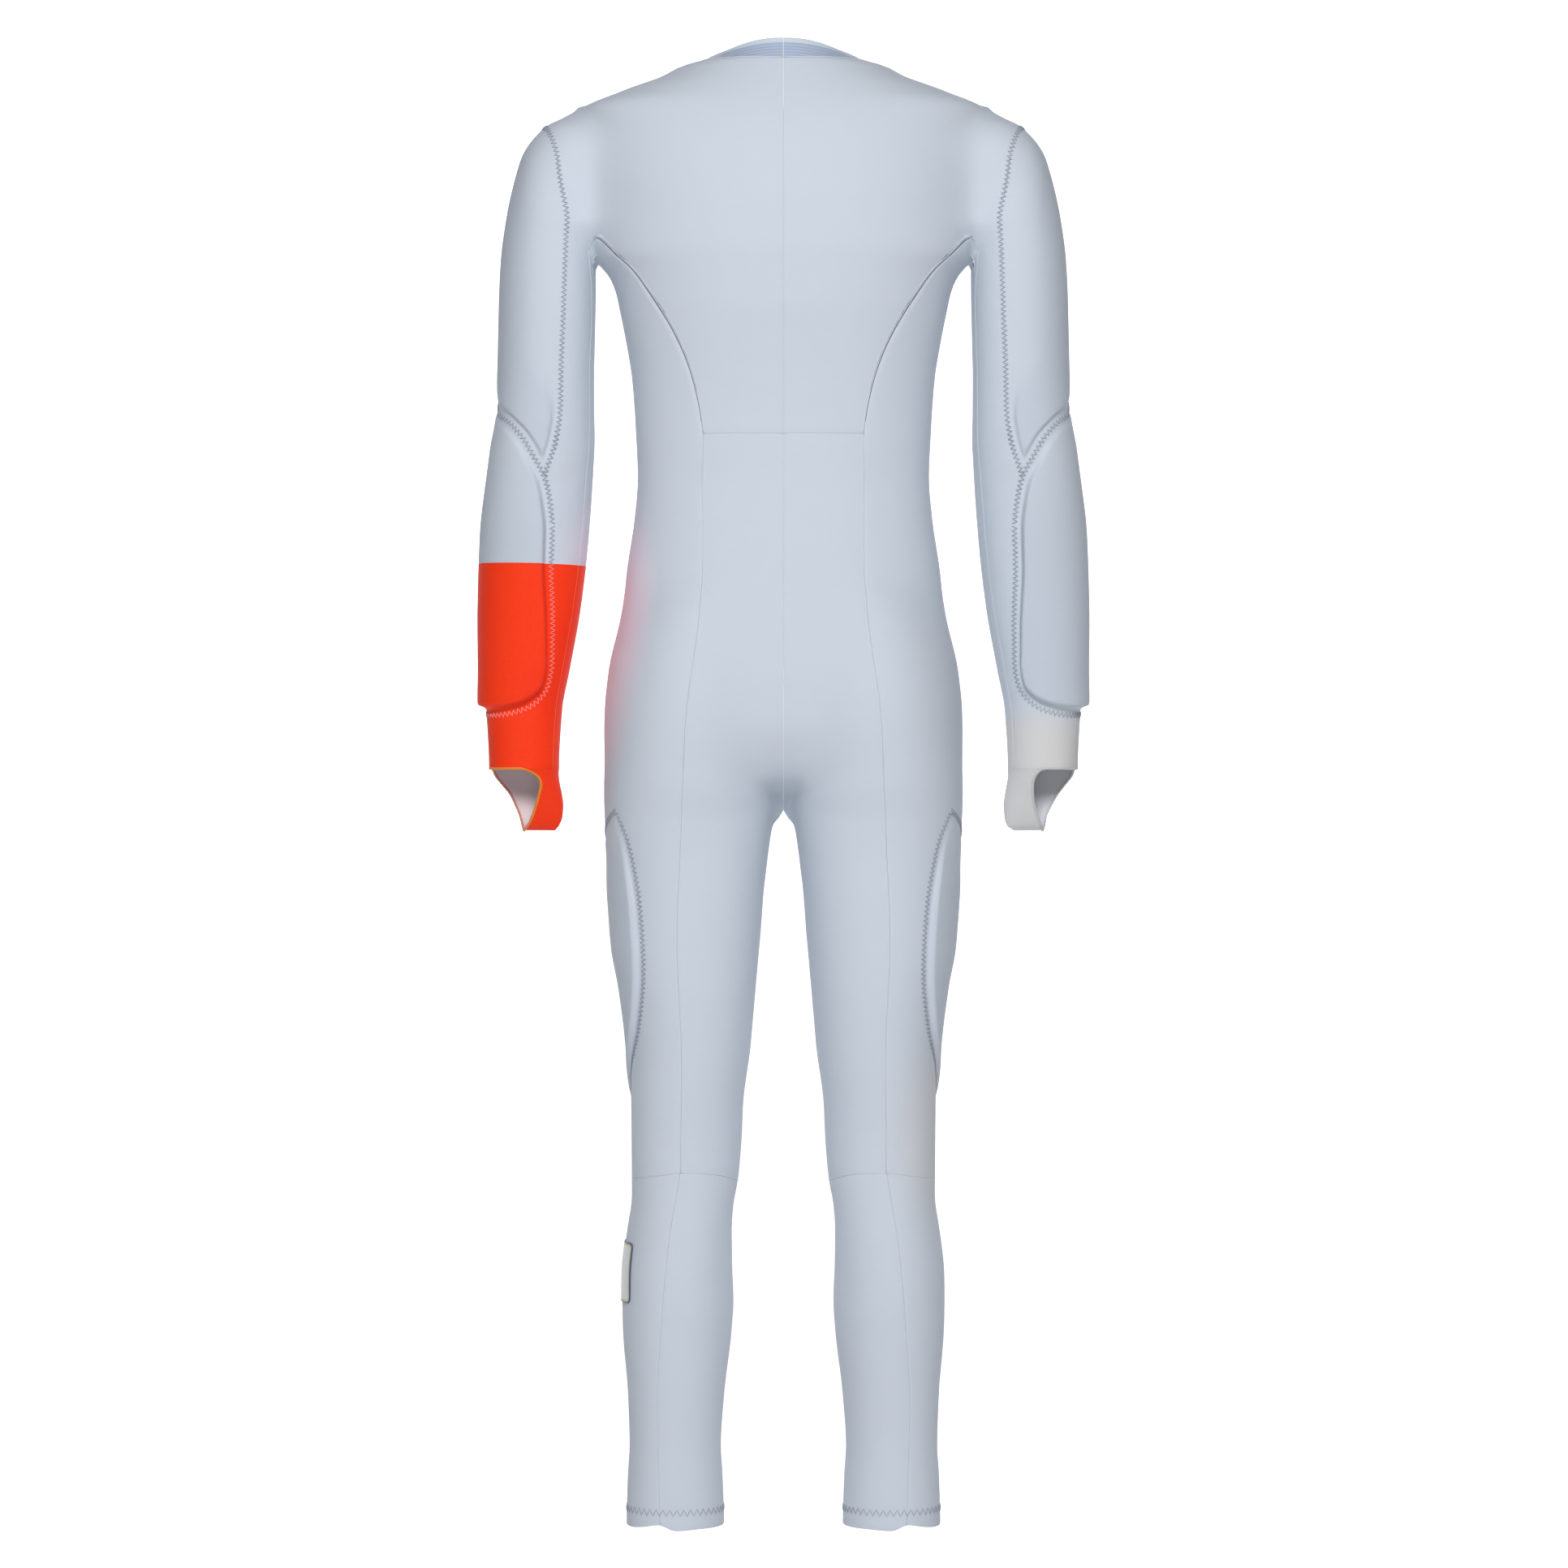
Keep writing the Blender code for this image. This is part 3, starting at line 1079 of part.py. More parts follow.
points = []
side = PULL["wide"] / 2
for x in (-side, side):
    points += [(x, *tilted(t, n)) for t, n in outline + hole]
edge_count, every = len(outline), len(outline) + SIDES
faces = []
for base in (0, every):
    hole = list(range(base + edge_count, base + every))
    faces += plate_with_hole(points, list(range(base, base + edge_count)), hole)
for start_at, size in ((0, edge_count), (edge_count, SIDES)):
    for i in range(size):
        j = (i + 1) % size
        faces.append([start_at + i, start_at + j, every + start_at + j, every + start_at + i])
node("zip_pull", on_zip(points), right_way(on_zip(points), faces), METAL, 0.3)
PIN_POINT = on_zip([(0.0, *PIN_PLACE)])[0]
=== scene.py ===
"""Ski race suit seen from behind, worn by an unseen figure: cloth, pads, seams, stitches, bindings and light.

Metres, +Z up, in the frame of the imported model. +X is the wearer's left, the wearer faces -Y.
Each cloth panel is made finer from its solid: points are added between the solid's own, the seams are drawn
as smooth lines through the solid's seam points, and every point is set back on the smooth worn form.
"""
import math

import bpy
import numpy as np
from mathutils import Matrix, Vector


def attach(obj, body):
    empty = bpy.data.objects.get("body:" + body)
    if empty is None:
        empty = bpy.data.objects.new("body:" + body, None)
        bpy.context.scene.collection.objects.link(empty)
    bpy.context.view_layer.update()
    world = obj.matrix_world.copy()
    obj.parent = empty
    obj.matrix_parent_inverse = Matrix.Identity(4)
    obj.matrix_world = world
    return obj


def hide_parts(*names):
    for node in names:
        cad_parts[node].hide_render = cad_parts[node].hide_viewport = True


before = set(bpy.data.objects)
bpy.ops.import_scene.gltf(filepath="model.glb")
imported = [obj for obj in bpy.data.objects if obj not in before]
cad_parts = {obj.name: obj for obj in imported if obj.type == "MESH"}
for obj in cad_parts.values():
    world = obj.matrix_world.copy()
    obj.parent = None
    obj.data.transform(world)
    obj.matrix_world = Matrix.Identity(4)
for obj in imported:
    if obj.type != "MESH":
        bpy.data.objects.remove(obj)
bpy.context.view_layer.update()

# Sizes in metres
WALL = 0.0015
PADS = {"upper_arm_panel": 0.0035, "forearm_panel": 0.0088, "thigh_panel": 0.0050}
PAD_FOOT = 0.0055
PAD_FULL = 0.0105
SEAM_GAP = 0.00006
SEAM_DIP = 0.00022
SEAM_ROLL = 0.0010
# The seam from the armpit to the waist is drawn into a deeper groove: extra gap, dip and roll
GROOVE = (0.00045, 0.0010, 0.0012)
CUFF_LEVEL = -0.697
HEM_LEVEL = -1.4395
HEM_STITCH = -1.4228
ORANGE_FROM = -0.4965
# Zigzag stitches: pitch, half width, lift and radius of the thread
PAD_STITCH = (0.0047, 0.0027, 0.00046, 0.00046)
THIGH_STITCH = (0.0047, 0.0029, 0.00046, 0.00046)
HEM_ZIGZAG = (0.0068, 0.0033, 0.00040, 0.00034)
# Zip teeth: first and last height, and the pitch
TEETH = (-0.058, -0.596, -0.0016)
# Middle of the cuff: for angles round it, and for the way out from the hand loop
CUFF_MIDDLE = (0.2578, -0.040)
LOOP_MIDDLE = (0.2578, -0.0405, 0.0)
# Past this distance from the middle a point is on a sleeve
SLEEVE_FROM = 0.186

# Studio paper: half width, floor level, start and radius of its bend, strength of its soft glow
PAPER_HALF = 2.6
FLOOR = -1.545
BEND_FROM = -1.2
BEND = 0.9
GLOW = 0.72
# Camera distance, size of a photo pixel on the suit, pixels across the photo
CAMERA_AWAY = 4.6
PIXEL = 0.0008
PHOTO_WIDE = 1932

# The worn form in millimetres, a row per height
# height, half width, front depth, back depth, middle in y, roundness of the section
TRUNK = [
    (60, 58, 60, 46, -8, 2.0),
    (24, 64, 62, 56, -2, 2.0),
    (6, 70, 65, 60, -1, 2.0),
    (0, 76.5, 66, 62, 0, 2.0),
    (-8, 104, 68, 66, 0, 2.0),
    (-17, 121, 71, 71, 0, 2.0),
    (-32, 162, 78, 79, 0, 2.0),
    (-50, 198, 88, 88, 0, 2.1),
    (-75, 194, 98, 98, 0, 2.2),
    (-110, 190, 108, 107, 0, 2.3),
    (-150, 187, 116, 113, 0, 2.3),
    (-180, 187, 119, 113, 0, 2.3),
    (-196, 184.5, 120, 113, 0, 2.3),
    (-204, 179, 120, 112, 0, 2.3),
    (-212, 172.5, 119, 111, 0, 2.3),
    (-228, 165.4, 118, 109, 0, 2.3),
    (-248, 161, 117, 106, 0, 2.3),
    (-278, 155, 113, 99, 0, 2.3),
    (-316, 149, 108, 91, 0, 2.3),
    (-366, 145.5, 102, 84, 0, 2.3),
    (-412, 143.6, 99, 82, 0, 2.3),
    (-450, 146.6, 99, 85, 0, 2.3),
    (-509, 155, 101, 94, 0, 2.3),
    (-560, 159, 102, 102, 0, 2.3),
    (-601, 165, 101, 105, 0, 2.2),
    (-650, 163, 97, 100, 0, 2.1),
    (-682, 154, 88, 86, 0, 2.0),
    (-710, 120, 60, 56, 3, 2.0),
    (-723, 20, 10, 10, 6, 2.0),
]
# height, middle in x, half width, front depth, back depth, middle in y, roundness
LEG = [
    (-500, 86, 12, 10, 10, 30, 2.0),
    (-530, 86, 46, 50, 66, 20, 2.0),
    (-580, 88, 70, 80, 95, 12, 2.1),
    (-640, 90, 82.0, 92, 106, 8, 2.1),
    (-708, 92.5, 84.0, 92, 98, 6, 2.1),
    (-752, 93.6, 82.0, 91, 86, 6, 2.1),
    (-790, 93.7, 77.6, 90, 80, 6, 2.1),
    (-820, 94.3, 74.8, 88, 78, 6, 2.1),
    (-871, 94.3, 70.9, 84, 74, 6, 2.1),
    (-914, 92.4, 65.2, 79, 71, 6, 2.1),
    (-967, 91.4, 59.6, 71, 65, 5, 2.1),
    (-1028, 94.8, 55.2, 62, 57, 4, 2.1),
    (-1060, 95.4, 54.3, 60, 54, 3, 2.1),
    (-1104, 97.2, 52.2, 57, 53, 3, 2.1),
    (-1126, 99.4, 50.4, 54, 55, 4, 2.1),
    (-1146, 101.8, 51.2, 52, 58, 5, 2.1),
    (-1166, 103.2, 52.6, 51, 61, 6, 2.1),
    (-1190, 104.2, 54.0, 50, 63, 8, 2.1),
    (-1219, 103.8, 54.8, 49, 63, 9, 2.1),
    (-1252, 104.4, 53.4, 48, 60, 9, 2.1),
    (-1310, 105.5, 47.6, 46, 52, 10, 2.1),
    (-1364, 106.4, 45.0, 44, 47, 10, 2.1),
    (-1390, 106.4, 46.6, 44, 47, 10, 2.1),
    (-1442, 106.3, 48.0, 46, 48, 10, 2.1),
    (-1480, 106.3, 48.0, 46, 48, 10, 2.1),
]
# height, middle in x, half width, front depth, back depth, middle in y, roundness
ARM = [
    (-50, 200, 4, 4, 4, 2, 2.0),
    (-57, 201, 16, 18, 18, 2, 2.0),
    (-67, 206, 30, 32, 32, 2, 2.0),
    (-83, 212.5, 36, 42, 42, 1, 2.0),
    (-112, 219, 40.5, 49, 50, 0, 2.0),
    (-157, 226.5, 43.2, 53, 54, 0, 2.05),
    (-200, 230.0, 45.2, 54, 55, 0, 2.1),
    (-240, 231.0, 46.0, 54, 55, 0, 2.1),
    (-300, 232.5, 46.0, 53, 54, -2, 2.1),
    (-343, 234.0, 47.4, 51, 53, -4, 2.1),
    (-385, 237.2, 50.6, 50, 52, -8, 2.1),
    (-430, 239.7, 50.2, 50, 49, -14, 2.1),
    (-485, 243.4, 49.2, 49, 46, -20, 2.1),
    (-540, 247.8, 46.7, 46, 43, -26, 2.1),
    (-600, 253.4, 41.2, 41, 39, -32, 2.1),
    (-640, 257.4, 37.6, 37, 36, -36, 2.1),
    (-697, 257.8, 34.8, 33, 33, -40, 2.1),
    (-720, 257.8, 34.8, 33, 33, -42, 2.1),
]
# The hand loops in millimetres: height, near edge, inmost, far edge, half depth, middle in y
HAND_LOOP_LEFT = [
    (-697.5, 256.2, 223.0, 290.0, 33.0, -40),
    (-703, 244.2, 223.4, 288.6, 31.0, -40.5),
    (-712, 239.1, 222.4, 281.9, 28.0, -41),
    (-723, 241.4, 220.2, 272.8, 23.0, -42),
    (-733.6, 244.6, 219.0, 267.6, 18.5, -43),
    (-744.8, 248.5, 219.8, 262.6, 13.0, -44),
    (-754.4, 253.4, 223.4, 259.8, 7.0, -45),
    (-759, 258.2, 227.4, 258.2, 0.0, -45),
]
HAND_LOOP_RIGHT = [
    (-697.5, 254.8, 222.8, 290.0, 33.0, -40),
    (-703, 249.4, 223.3, 289.0, 31.0, -40.5),
    (-712, 246.2, 222.2, 282.4, 28.0, -41),
    (-723, 246.6, 220.2, 273.8, 23.0, -42),
    (-733.6, 247.8, 219.1, 267.6, 18.5, -43),
    (-744.8, 251.4, 219.8, 261.8, 13.0, -44),
    (-754.4, 255.4, 222.6, 259.8, 7.0, -45),
    (-759, 257.8, 229.4, 257.8, 0.0, -45),
]
HAND_LOOP_MIDDLE = 257.8
HAND_LOOP_OUTER = 34.8
# Label: height top and bottom in millimetres, and the two edge angles in degrees
LABEL = (-1162.0, -1220.0, 35.6, -24.0)
# Its corner radius and the leg's radius under it in millimetres, and points round it
LABEL_CORNER = 5.0
LABEL_LEG = 54.0
LABEL_STEPS = 90

# Soft creases in metres: start, end, half width, depth; a depth below zero is a ridge
CREASES = [
    ((0.185, 0.060, -0.185), (0.130, 0.100, -0.150), 0.010, 0.0007),
    ((0.190, 0.056, -0.190), (0.205, 0.056, -0.120), 0.009, 0.0006),
    ((0.183, 0.050, -0.215), (0.120, 0.085, -0.245), 0.010, -0.0005),
    ((0.200, 0.030, -0.385), (0.236, 0.045, -0.372), 0.008, 0.0006),
    ((0.198, 0.020, -0.410), (0.228, 0.040, -0.418), 0.007, 0.0005),
    ((0.205, -0.060, -0.395), (0.245, -0.062, -0.380), 0.009, 0.0009),
    ((0.205, -0.062, -0.430), (0.240, -0.066, -0.440), 0.008, 0.0007),
    ((0.215, -0.055, -0.640), (0.250, -0.072, -0.655), 0.006, 0.0005),
    ((0.020, 0.080, -0.715), (0.090, 0.100, -0.690), 0.014, 0.0012),
    ((0.016, 0.060, -0.735), (0.070, 0.088, -0.745), 0.009, 0.0006),
    ((0.018, -0.060, -0.700), (0.090, -0.092, -0.650), 0.012, 0.0010),
    ((0.020, -0.070, -0.735), (0.085, -0.088, -0.725), 0.009, 0.0007),
    ((0.050, 0.045, -1.080), (0.120, 0.052, -1.066), 0.009, 0.0006),
    ((0.058, 0.050, -1.125), (0.132, 0.052, -1.140), 0.009, 0.0007),
    ((0.070, -0.052, -1.060), (0.130, -0.050, -1.075), 0.011, 0.0006),
    ((0.065, -0.048, -1.130), (0.125, -0.047, -1.120), 0.010, 0.0005),
    ((0.062, 0.040, -1.372), (0.120, 0.056, -1.366), 0.008, 0.0006),
    ((0.070, -0.030, -1.392), (0.138, -0.030, -1.386), 0.008, 0.0006),
    ((0.030, -0.098, -0.400), (0.100, -0.086, -0.392), 0.012, 0.0006),
    ((0.020, -0.099, -0.440), (0.085, -0.090, -0.452), 0.012, 0.0005),
    ((0.060, 0.078, -0.415), (0.120, 0.060, -0.405), 0.014, 0.0004),
]


def unit(v):
    return v / np.maximum(np.linalg.norm(v, axis=-1, keepdims=True), 1e-12)


def sides(faces):
    """The three directed edges of every triangle, as an array of pairs."""
    return np.concatenate([faces[:, [0, 1]], faces[:, [1, 2]], faces[:, [2, 0]]])


def area_vectors(p, f):
    """Normal of each triangle, twice its area long."""
    return np.cross(p[f[:, 1]] - p[f[:, 0]], p[f[:, 2]] - p[f[:, 0]])


def column(rows, index):
    return np.array([row[index] for row in rows], dtype=float)


def smooth_read(rows, index, height):
    """A column of a table at any height: smooth between rows, with no overshoot."""
    z = column(rows, 0)[::-1]
    v = column(rows, index)[::-1]
    step = np.diff(z)
    slope = np.diff(v) / step
    tangent = np.zeros_like(v)
    left, right = slope[:-1], slope[1:]
    w1, w2 = 2 * step[1:] + step[:-1], step[1:] + 2 * step[:-1]
    same = left * right > 0
    safe_left = np.where(same, left, 1.0)
    safe_right = np.where(same, right, 1.0)
    tangent[1:-1] = np.where(same, (w1 + w2) / (w1 / safe_left + w2 / safe_right), 0.0)
    tangent[0], tangent[-1] = slope[0], slope[-1]
    h = np.clip(height, z[0], z[-1])
    k = np.clip(np.searchsorted(z, h, side="right") - 1, 0, len(z) - 2)
    d = step[k]
    t = (h - z[k]) / d
    return ((2 * t**3 - 3 * t**2 + 1) * v[k] + (t**3 - 2 * t**2 + t) * d * tangent[k]
            + (3 * t**2 - 2 * t**3) * v[k + 1] + (t**3 - t**2) * d * tangent[k + 1])


def fine_table(rows):
    """Every column of a table at each half millimetre of height, from the lowest row up."""
    heights = np.arange(rows[-1][0], rows[0][0] + 0.25, 0.5)
    return rows[-1][0], np.stack([smooth_read(rows, i, heights) for i in range(1, len(rows[0]))], axis=-1)


FINE = {
    "trunk": fine_table([(r[0], 0.0) + r[1:] for r in TRUNK]),
    "leg": fine_table(LEG),
    "arm": fine_table(ARM),
}


def read_fine(name, height):
    lowest, values = FINE[name]
    place = np.clip((height - lowest) * 2.0, 0.0, len(values) - 1.001)
    k = place.astype(int)
    t = (place - k)[..., None]
    beyond = np.abs((height - lowest) * 2.0 - place) / 2.0
    return values[k] * (1 - t) + values[k + 1] * t, beyond


def section(values, beyond, x, y):
    """Radial distance in millimetres from a section, less than zero inside."""
    dx = x - values[..., 0]
    dy = y - values[..., 4]
    half = values[..., 1]
    deep = np.where(dy > 0, values[..., 3], values[..., 2])
    power = values[..., 5]
    size = ((np.abs(dx) / half) ** power + (np.abs(dy) / deep) ** power + 1e-9) ** (1.0 / power)
    return np.hypot(dx, dy) * (1.0 - 1.0 / size) + beyond


def soft_min(a, b, reach):
    near = np.maximum(reach - np.abs(a - b), 0.0) / reach
    return np.minimum(a, b) - near**3 * reach / 6.0


def ramp(value, low, high):
    t = np.clip((value - low) / (high - low), 0.0, 1.0)
    return t * t * (3 - 2 * t)


def form(p):
    """The worn form in metres, less than zero inside: trunk, both legs and the left arm."""
    x, y, z = p[..., 0] * 1000.0, p[..., 1] * 1000.0, p[..., 2] * 1000.0
    trunk = section(*read_fine("trunk", z), x, y)
    leg_values, leg_beyond = read_fine("leg", z)
    legs = soft_min(section(leg_values, leg_beyond, x, y), section(leg_values, leg_beyond, -x, y), 10.0)
    body = soft_min(trunk, legs, 45.0)
    reach = (7.0 + 69.0 * ramp(z, -200.0, -160.0)) * (1.0 - 0.7 * ramp(z, -90.0, -50.0))
    return soft_min(body, section(*read_fine("arm", z), x, y), reach) / 1000.0


CORNERS = np.array([[1, -1, -1], [-1, -1, 1], [-1, 1, -1], [1, 1, 1]], dtype=float)


def slope_of(p):
    h = 0.0005
    f = form(p[..., None, :] + CORNERS * h)
    return (f[..., :, None] * CORNERS).sum(axis=-2) / (4 * h)


def outward(p):
    g = slope_of(p)
    return g / np.maximum(np.linalg.norm(g, axis=-1, keepdims=True), 1e-9)


def settle(p, rounds=4):
    """Moves points along the form's slope on to its surface."""
    p = np.array(p, dtype=float)
    for _ in range(rounds):
        g = slope_of(p)
        f = form(p)[..., None]
        step = f * g / np.maximum((g * g).sum(axis=-1, keepdims=True), 0.15)
        length = np.linalg.norm(step, axis=-1, keepdims=True)
        p = p - step * np.minimum(1.0, 0.02 / np.maximum(length, 1e-9))
    return p


def round_limb(rows, height, angle):
    """Points on a limb by height in millimetres and angle in degrees, from the outer side toward the back."""
    angle = np.radians(angle)
    mx = smooth_read(rows, 1, height)
    my = smooth_read(rows, 5, height)
    half = smooth_read(rows, 2, height)
    deep = np.where(np.sin(angle) > 0, smooth_read(rows, 4, height), smooth_read(rows, 3, height))
    points = np.stack([mx + half * np.cos(angle), my + deep * np.sin(angle), height], axis=-1)
    return settle(points / 1000.0, 8)


# The left half of the suit as one net of triangles, each with the panel it belongs to
CLOTH = ["back_yoke", "front", "side_panel", "back_lower", "upper_arm_panel", "forearm_panel", "thigh_panel",
         "shank_outer", "shank_inner", "collar", "zip_tape"]


def outer_face(name):
    """The outer points and triangles of a panel's solid, set down on the form where a pad had raised them."""
    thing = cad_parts[name]
    mesh = thing.data
    points = np.array([list(thing.matrix_world @ v.co) for v in mesh.vertices])
    faces = np.array([list(p.vertices) for p in mesh.polygons])
    key = np.round(points * 1e6).astype(np.int64)
    _, first, again = np.unique(key, axis=0, return_index=True, return_inverse=True)
    points, faces = points[first], again.reshape(-1)[faces]
    outside = form(points) > -WALL / 2
    faces = faces[outside[faces].all(axis=1)]
    used = np.unique(faces)
    number = -np.ones(len(points), dtype=int)
    number[used] = np.arange(len(used))
    return settle(points[used], 8), number[faces]


def gathered(names):
    """All panels in one net: points of neighbouring panels that face each other over a seam become one."""
    points, faces, owner = [], [], []
    count = 0
    for index, name in enumerate(names):
        p, f = outer_face(name + "_L")
        points.append(p)
        faces.append(f + count)
        owner += [index] * len(f)
        count += len(p)
    points, faces, owner = np.concatenate(points), np.concatenate(faces), np.array(owner)
    cell = {}
    merged = np.arange(len(points))
    for i, p in enumerate(points):
        base = np.floor(p / 0.002).astype(int)
        found = None
        for dx in (-1, 0, 1):
            for dy in (-1, 0, 1):
                for dz in (-1, 0, 1):
                    for j in cell.get((base[0] + dx, base[1] + dy, base[2] + dz), ()):
                        if np.linalg.norm(points[j] - p) < 0.0012:
                            found = j
        if found is None:
            cell.setdefault(tuple(base), []).append(i)
        else:
            merged[i] = found
    total = np.zeros_like(points)
    many = np.zeros(len(points))
    np.add.at(total, merged, points)
    np.add.at(many, merged, 1.0)
    kept = np.flatnonzero(merged == np.arange(len(points)))
    number = -np.ones(len(points), dtype=int)
    number[kept] = np.arange(len(kept))
    points = total[kept] / many[kept, None]
    faces = number[merged[faces]]
    good = (faces[:, 0] != faces[:, 1]) & (faces[:, 1] != faces[:, 2]) & (faces[:, 0] != faces[:, 2])
    points[np.abs(points[:, 0]) < 0.0006, 0] = 0.0
    return points, faces[good], owner[good]


def panels_at(faces, owner):
    """Each edge with the panels of the triangles that have it."""
    use = {}
    for face, panel in zip(faces.tolist(), owner.tolist()):
        for a, b in ((face[0], face[1]), (face[1], face[2]), (face[2], face[0])):
            use.setdefault((min(a, b), max(a, b)), []).append(panel)
    return use


def seam_edges(faces, owner):
    """Edges at the border of a panel: used once in all, or by two panels."""
    use = panels_at(faces, owner)
    return [edge for edge, panels in use.items() if len(panels) == 1 or panels[0] != panels[1]]


def finer(points, faces, owner):
    """Cuts each triangle in four. New points on a seam lie on a smooth line through the seam's points."""
    seams = seam_edges(faces, owner)
    around = {}
    for a, b in seams:
        around.setdefault(a, []).append(b)
        around.setdefault(b, []).append(a)

    def onward(a, b):
        """The seam point after b for a line that comes from a, where the line goes on smoothly."""
        way = points[b] - points[a]
        way = way / np.linalg.norm(way)
        best, found = 0.72, None
        for c in around[b]:
            if c != a:
                ahead = points[c] - points[b]
                straight = float(way @ ahead) / np.linalg.norm(ahead)
                if straight > best:
                    best, found = straight, c
        return found

    edges, again = np.unique(np.sort(sides(faces), axis=1), axis=0, return_inverse=True)
    again = again.reshape(3, -1)
    middle = (points[edges[:, 0]] + points[edges[:, 1]]) / 2
    place = {tuple(edge): i for i, edge in enumerate(edges.tolist())}
    for a, b in seams:
        p, q = points[a], points[b]
        before, after = onward(b, a), onward(a, b)
        if before is not None and after is not None:
            new = (9 * (p + q) - points[before] - points[after]) / 16
        elif after is not None:
            new = (3 * p + 6 * q - points[after]) / 8
        elif before is not None:
            new = (3 * q + 6 * p - points[before]) / 8
        else:
            new = (p + q) / 2
        middle[place[(a, b)]] = new
    flat = (points[edges[:, 0], 0] == 0.0) & (points[edges[:, 1], 0] == 0.0)
    middle = settle(middle)
    middle[flat, 0] = 0.0
    m = len(points) + again
    a, b, c = faces.T
    four = ((a, m[0], m[2]), (m[0], b, m[1]), (m[2], m[1], c), (m[0], m[1], m[2]))
    fine = np.concatenate([np.stack(corners, axis=1) for corners in four])
    return np.concatenate([points, middle]), fine, np.tile(owner, 4)


def border(faces):
    """Directed edges that only one triangle has, as an array of pairs."""
    pairs = sides(faces)
    size = int(faces.max()) + 1
    code = pairs[:, 0].astype(np.int64) * size + pairs[:, 1]
    back = pairs[:, 1].astype(np.int64) * size + pairs[:, 0]
    return pairs[~np.isin(code, back)]


def to_line(p, a, b):
    """Distance from each point to a line given by its pieces."""
    out = np.full(len(p), 1.0)
    along = b - a
    square = np.maximum((along * along).sum(axis=-1), 1e-12)
    for i in range(0, len(p), 2000):
        q = p[i:i + 2000, None]
        t = np.clip(((q - a) * along).sum(axis=-1) / square, 0.0, 1.0)
        out[i:i + 2000] = np.linalg.norm(q - (a + t[..., None] * along), axis=-1).min(axis=1)
    return out


def inward_of(points, normals, edges):
    """At each border point, the direction in the surface away from the border."""
    along = points[edges[:, 1]] - points[edges[:, 0]]
    inward = unit(np.cross(normals[edges[:, 0]] + normals[edges[:, 1]], along))
    total = np.zeros_like(points)
    np.add.at(total, edges[:, 0], inward)
    np.add.at(total, edges[:, 1], inward)
    size = np.linalg.norm(total, axis=1, keepdims=True)
    mean = total / np.maximum(size, 1e-9)
    return mean / np.clip(size / 2, 0.5, 1.0)


def creased(p, normals):
    """How far each point moves in for the soft creases, in metres."""
    depth = np.zeros(len(p))
    for start, end, wide, deep in CREASES:
        a, b = np.array(start), np.array(end)
        along = b - a
        t = np.clip((p - a) @ along / (along @ along), 0.0, 1.0)
        away = np.linalg.norm(p - (a + t[:, None] * along), axis=1)
        depth += deep * np.exp(-((away / wide) ** 2)) * (0.35 + 0.65 * np.sin(math.pi * (0.15 + 0.7 * t)))
    return depth


def closed_panel(points, faces, normals, lift, dip=SEAM_DIP, groove=None, flat=None):
    """Outer surface with a rolled edge, rim and inner wall.

    Returns the points, the triangles, a flag for the inner ones, and the rim's hard edges.
    """
    edges = border(faces)
    inward = inward_of(points, normals, edges)
    at_edge = np.unique(edges)
    drawn_in = np.zeros((len(at_edge), 1)) if groove is None else groove[at_edge, None]
    held_flat = np.zeros((len(at_edge), 1)) if flat is None else flat[at_edge, None]
    ring = points.copy()
    ring[at_edge] += inward[at_edge] * ((SEAM_ROLL + GROOVE[2] * drawn_in) * (1.0 - 0.5 * held_flat))
    outer = ring + normals * lift[:, None]
    lip = points[at_edge] + inward[at_edge] * (SEAM_GAP * (1.0 - 0.7 * held_flat) + GROOVE[0] * drawn_in)
    lip -= normals[at_edge] * ((dip + GROOVE[1] * drawn_in) * (1.0 - 0.85 * held_flat))
    base = points.copy()
    base[at_edge] += inward[at_edge] * SEAM_GAP
    inner = base - normals * WALL
    count = len(points)
    lip_number = -np.ones(count, dtype=int)
    lip_number[at_edge] = count + np.arange(len(at_edge))
    shift = count + len(at_edge)
    a, b = edges[:, 0], edges[:, 1]
    la, lb = lip_number[a], lip_number[b]
    ia, ib = a + shift, b + shift
    rolled = np.concatenate([np.stack([b, a, la], 1), np.stack([b, la, lb], 1)])
    rim = np.concatenate([np.stack([lb, la, ia], 1), np.stack([lb, ia, ib], 1)])
    inside = faces[:, ::-1] + shift
    triangles = np.concatenate([faces, rolled, rim, inside])
    inner_flag = np.zeros(len(triangles), dtype=bool)
    inner_flag[-len(inside):] = True
    hard = np.concatenate([np.stack([la, lb], 1), np.stack([ia, ib], 1)])
    return np.concatenate([outer, lip, inner]), triangles, inner_flag, hard


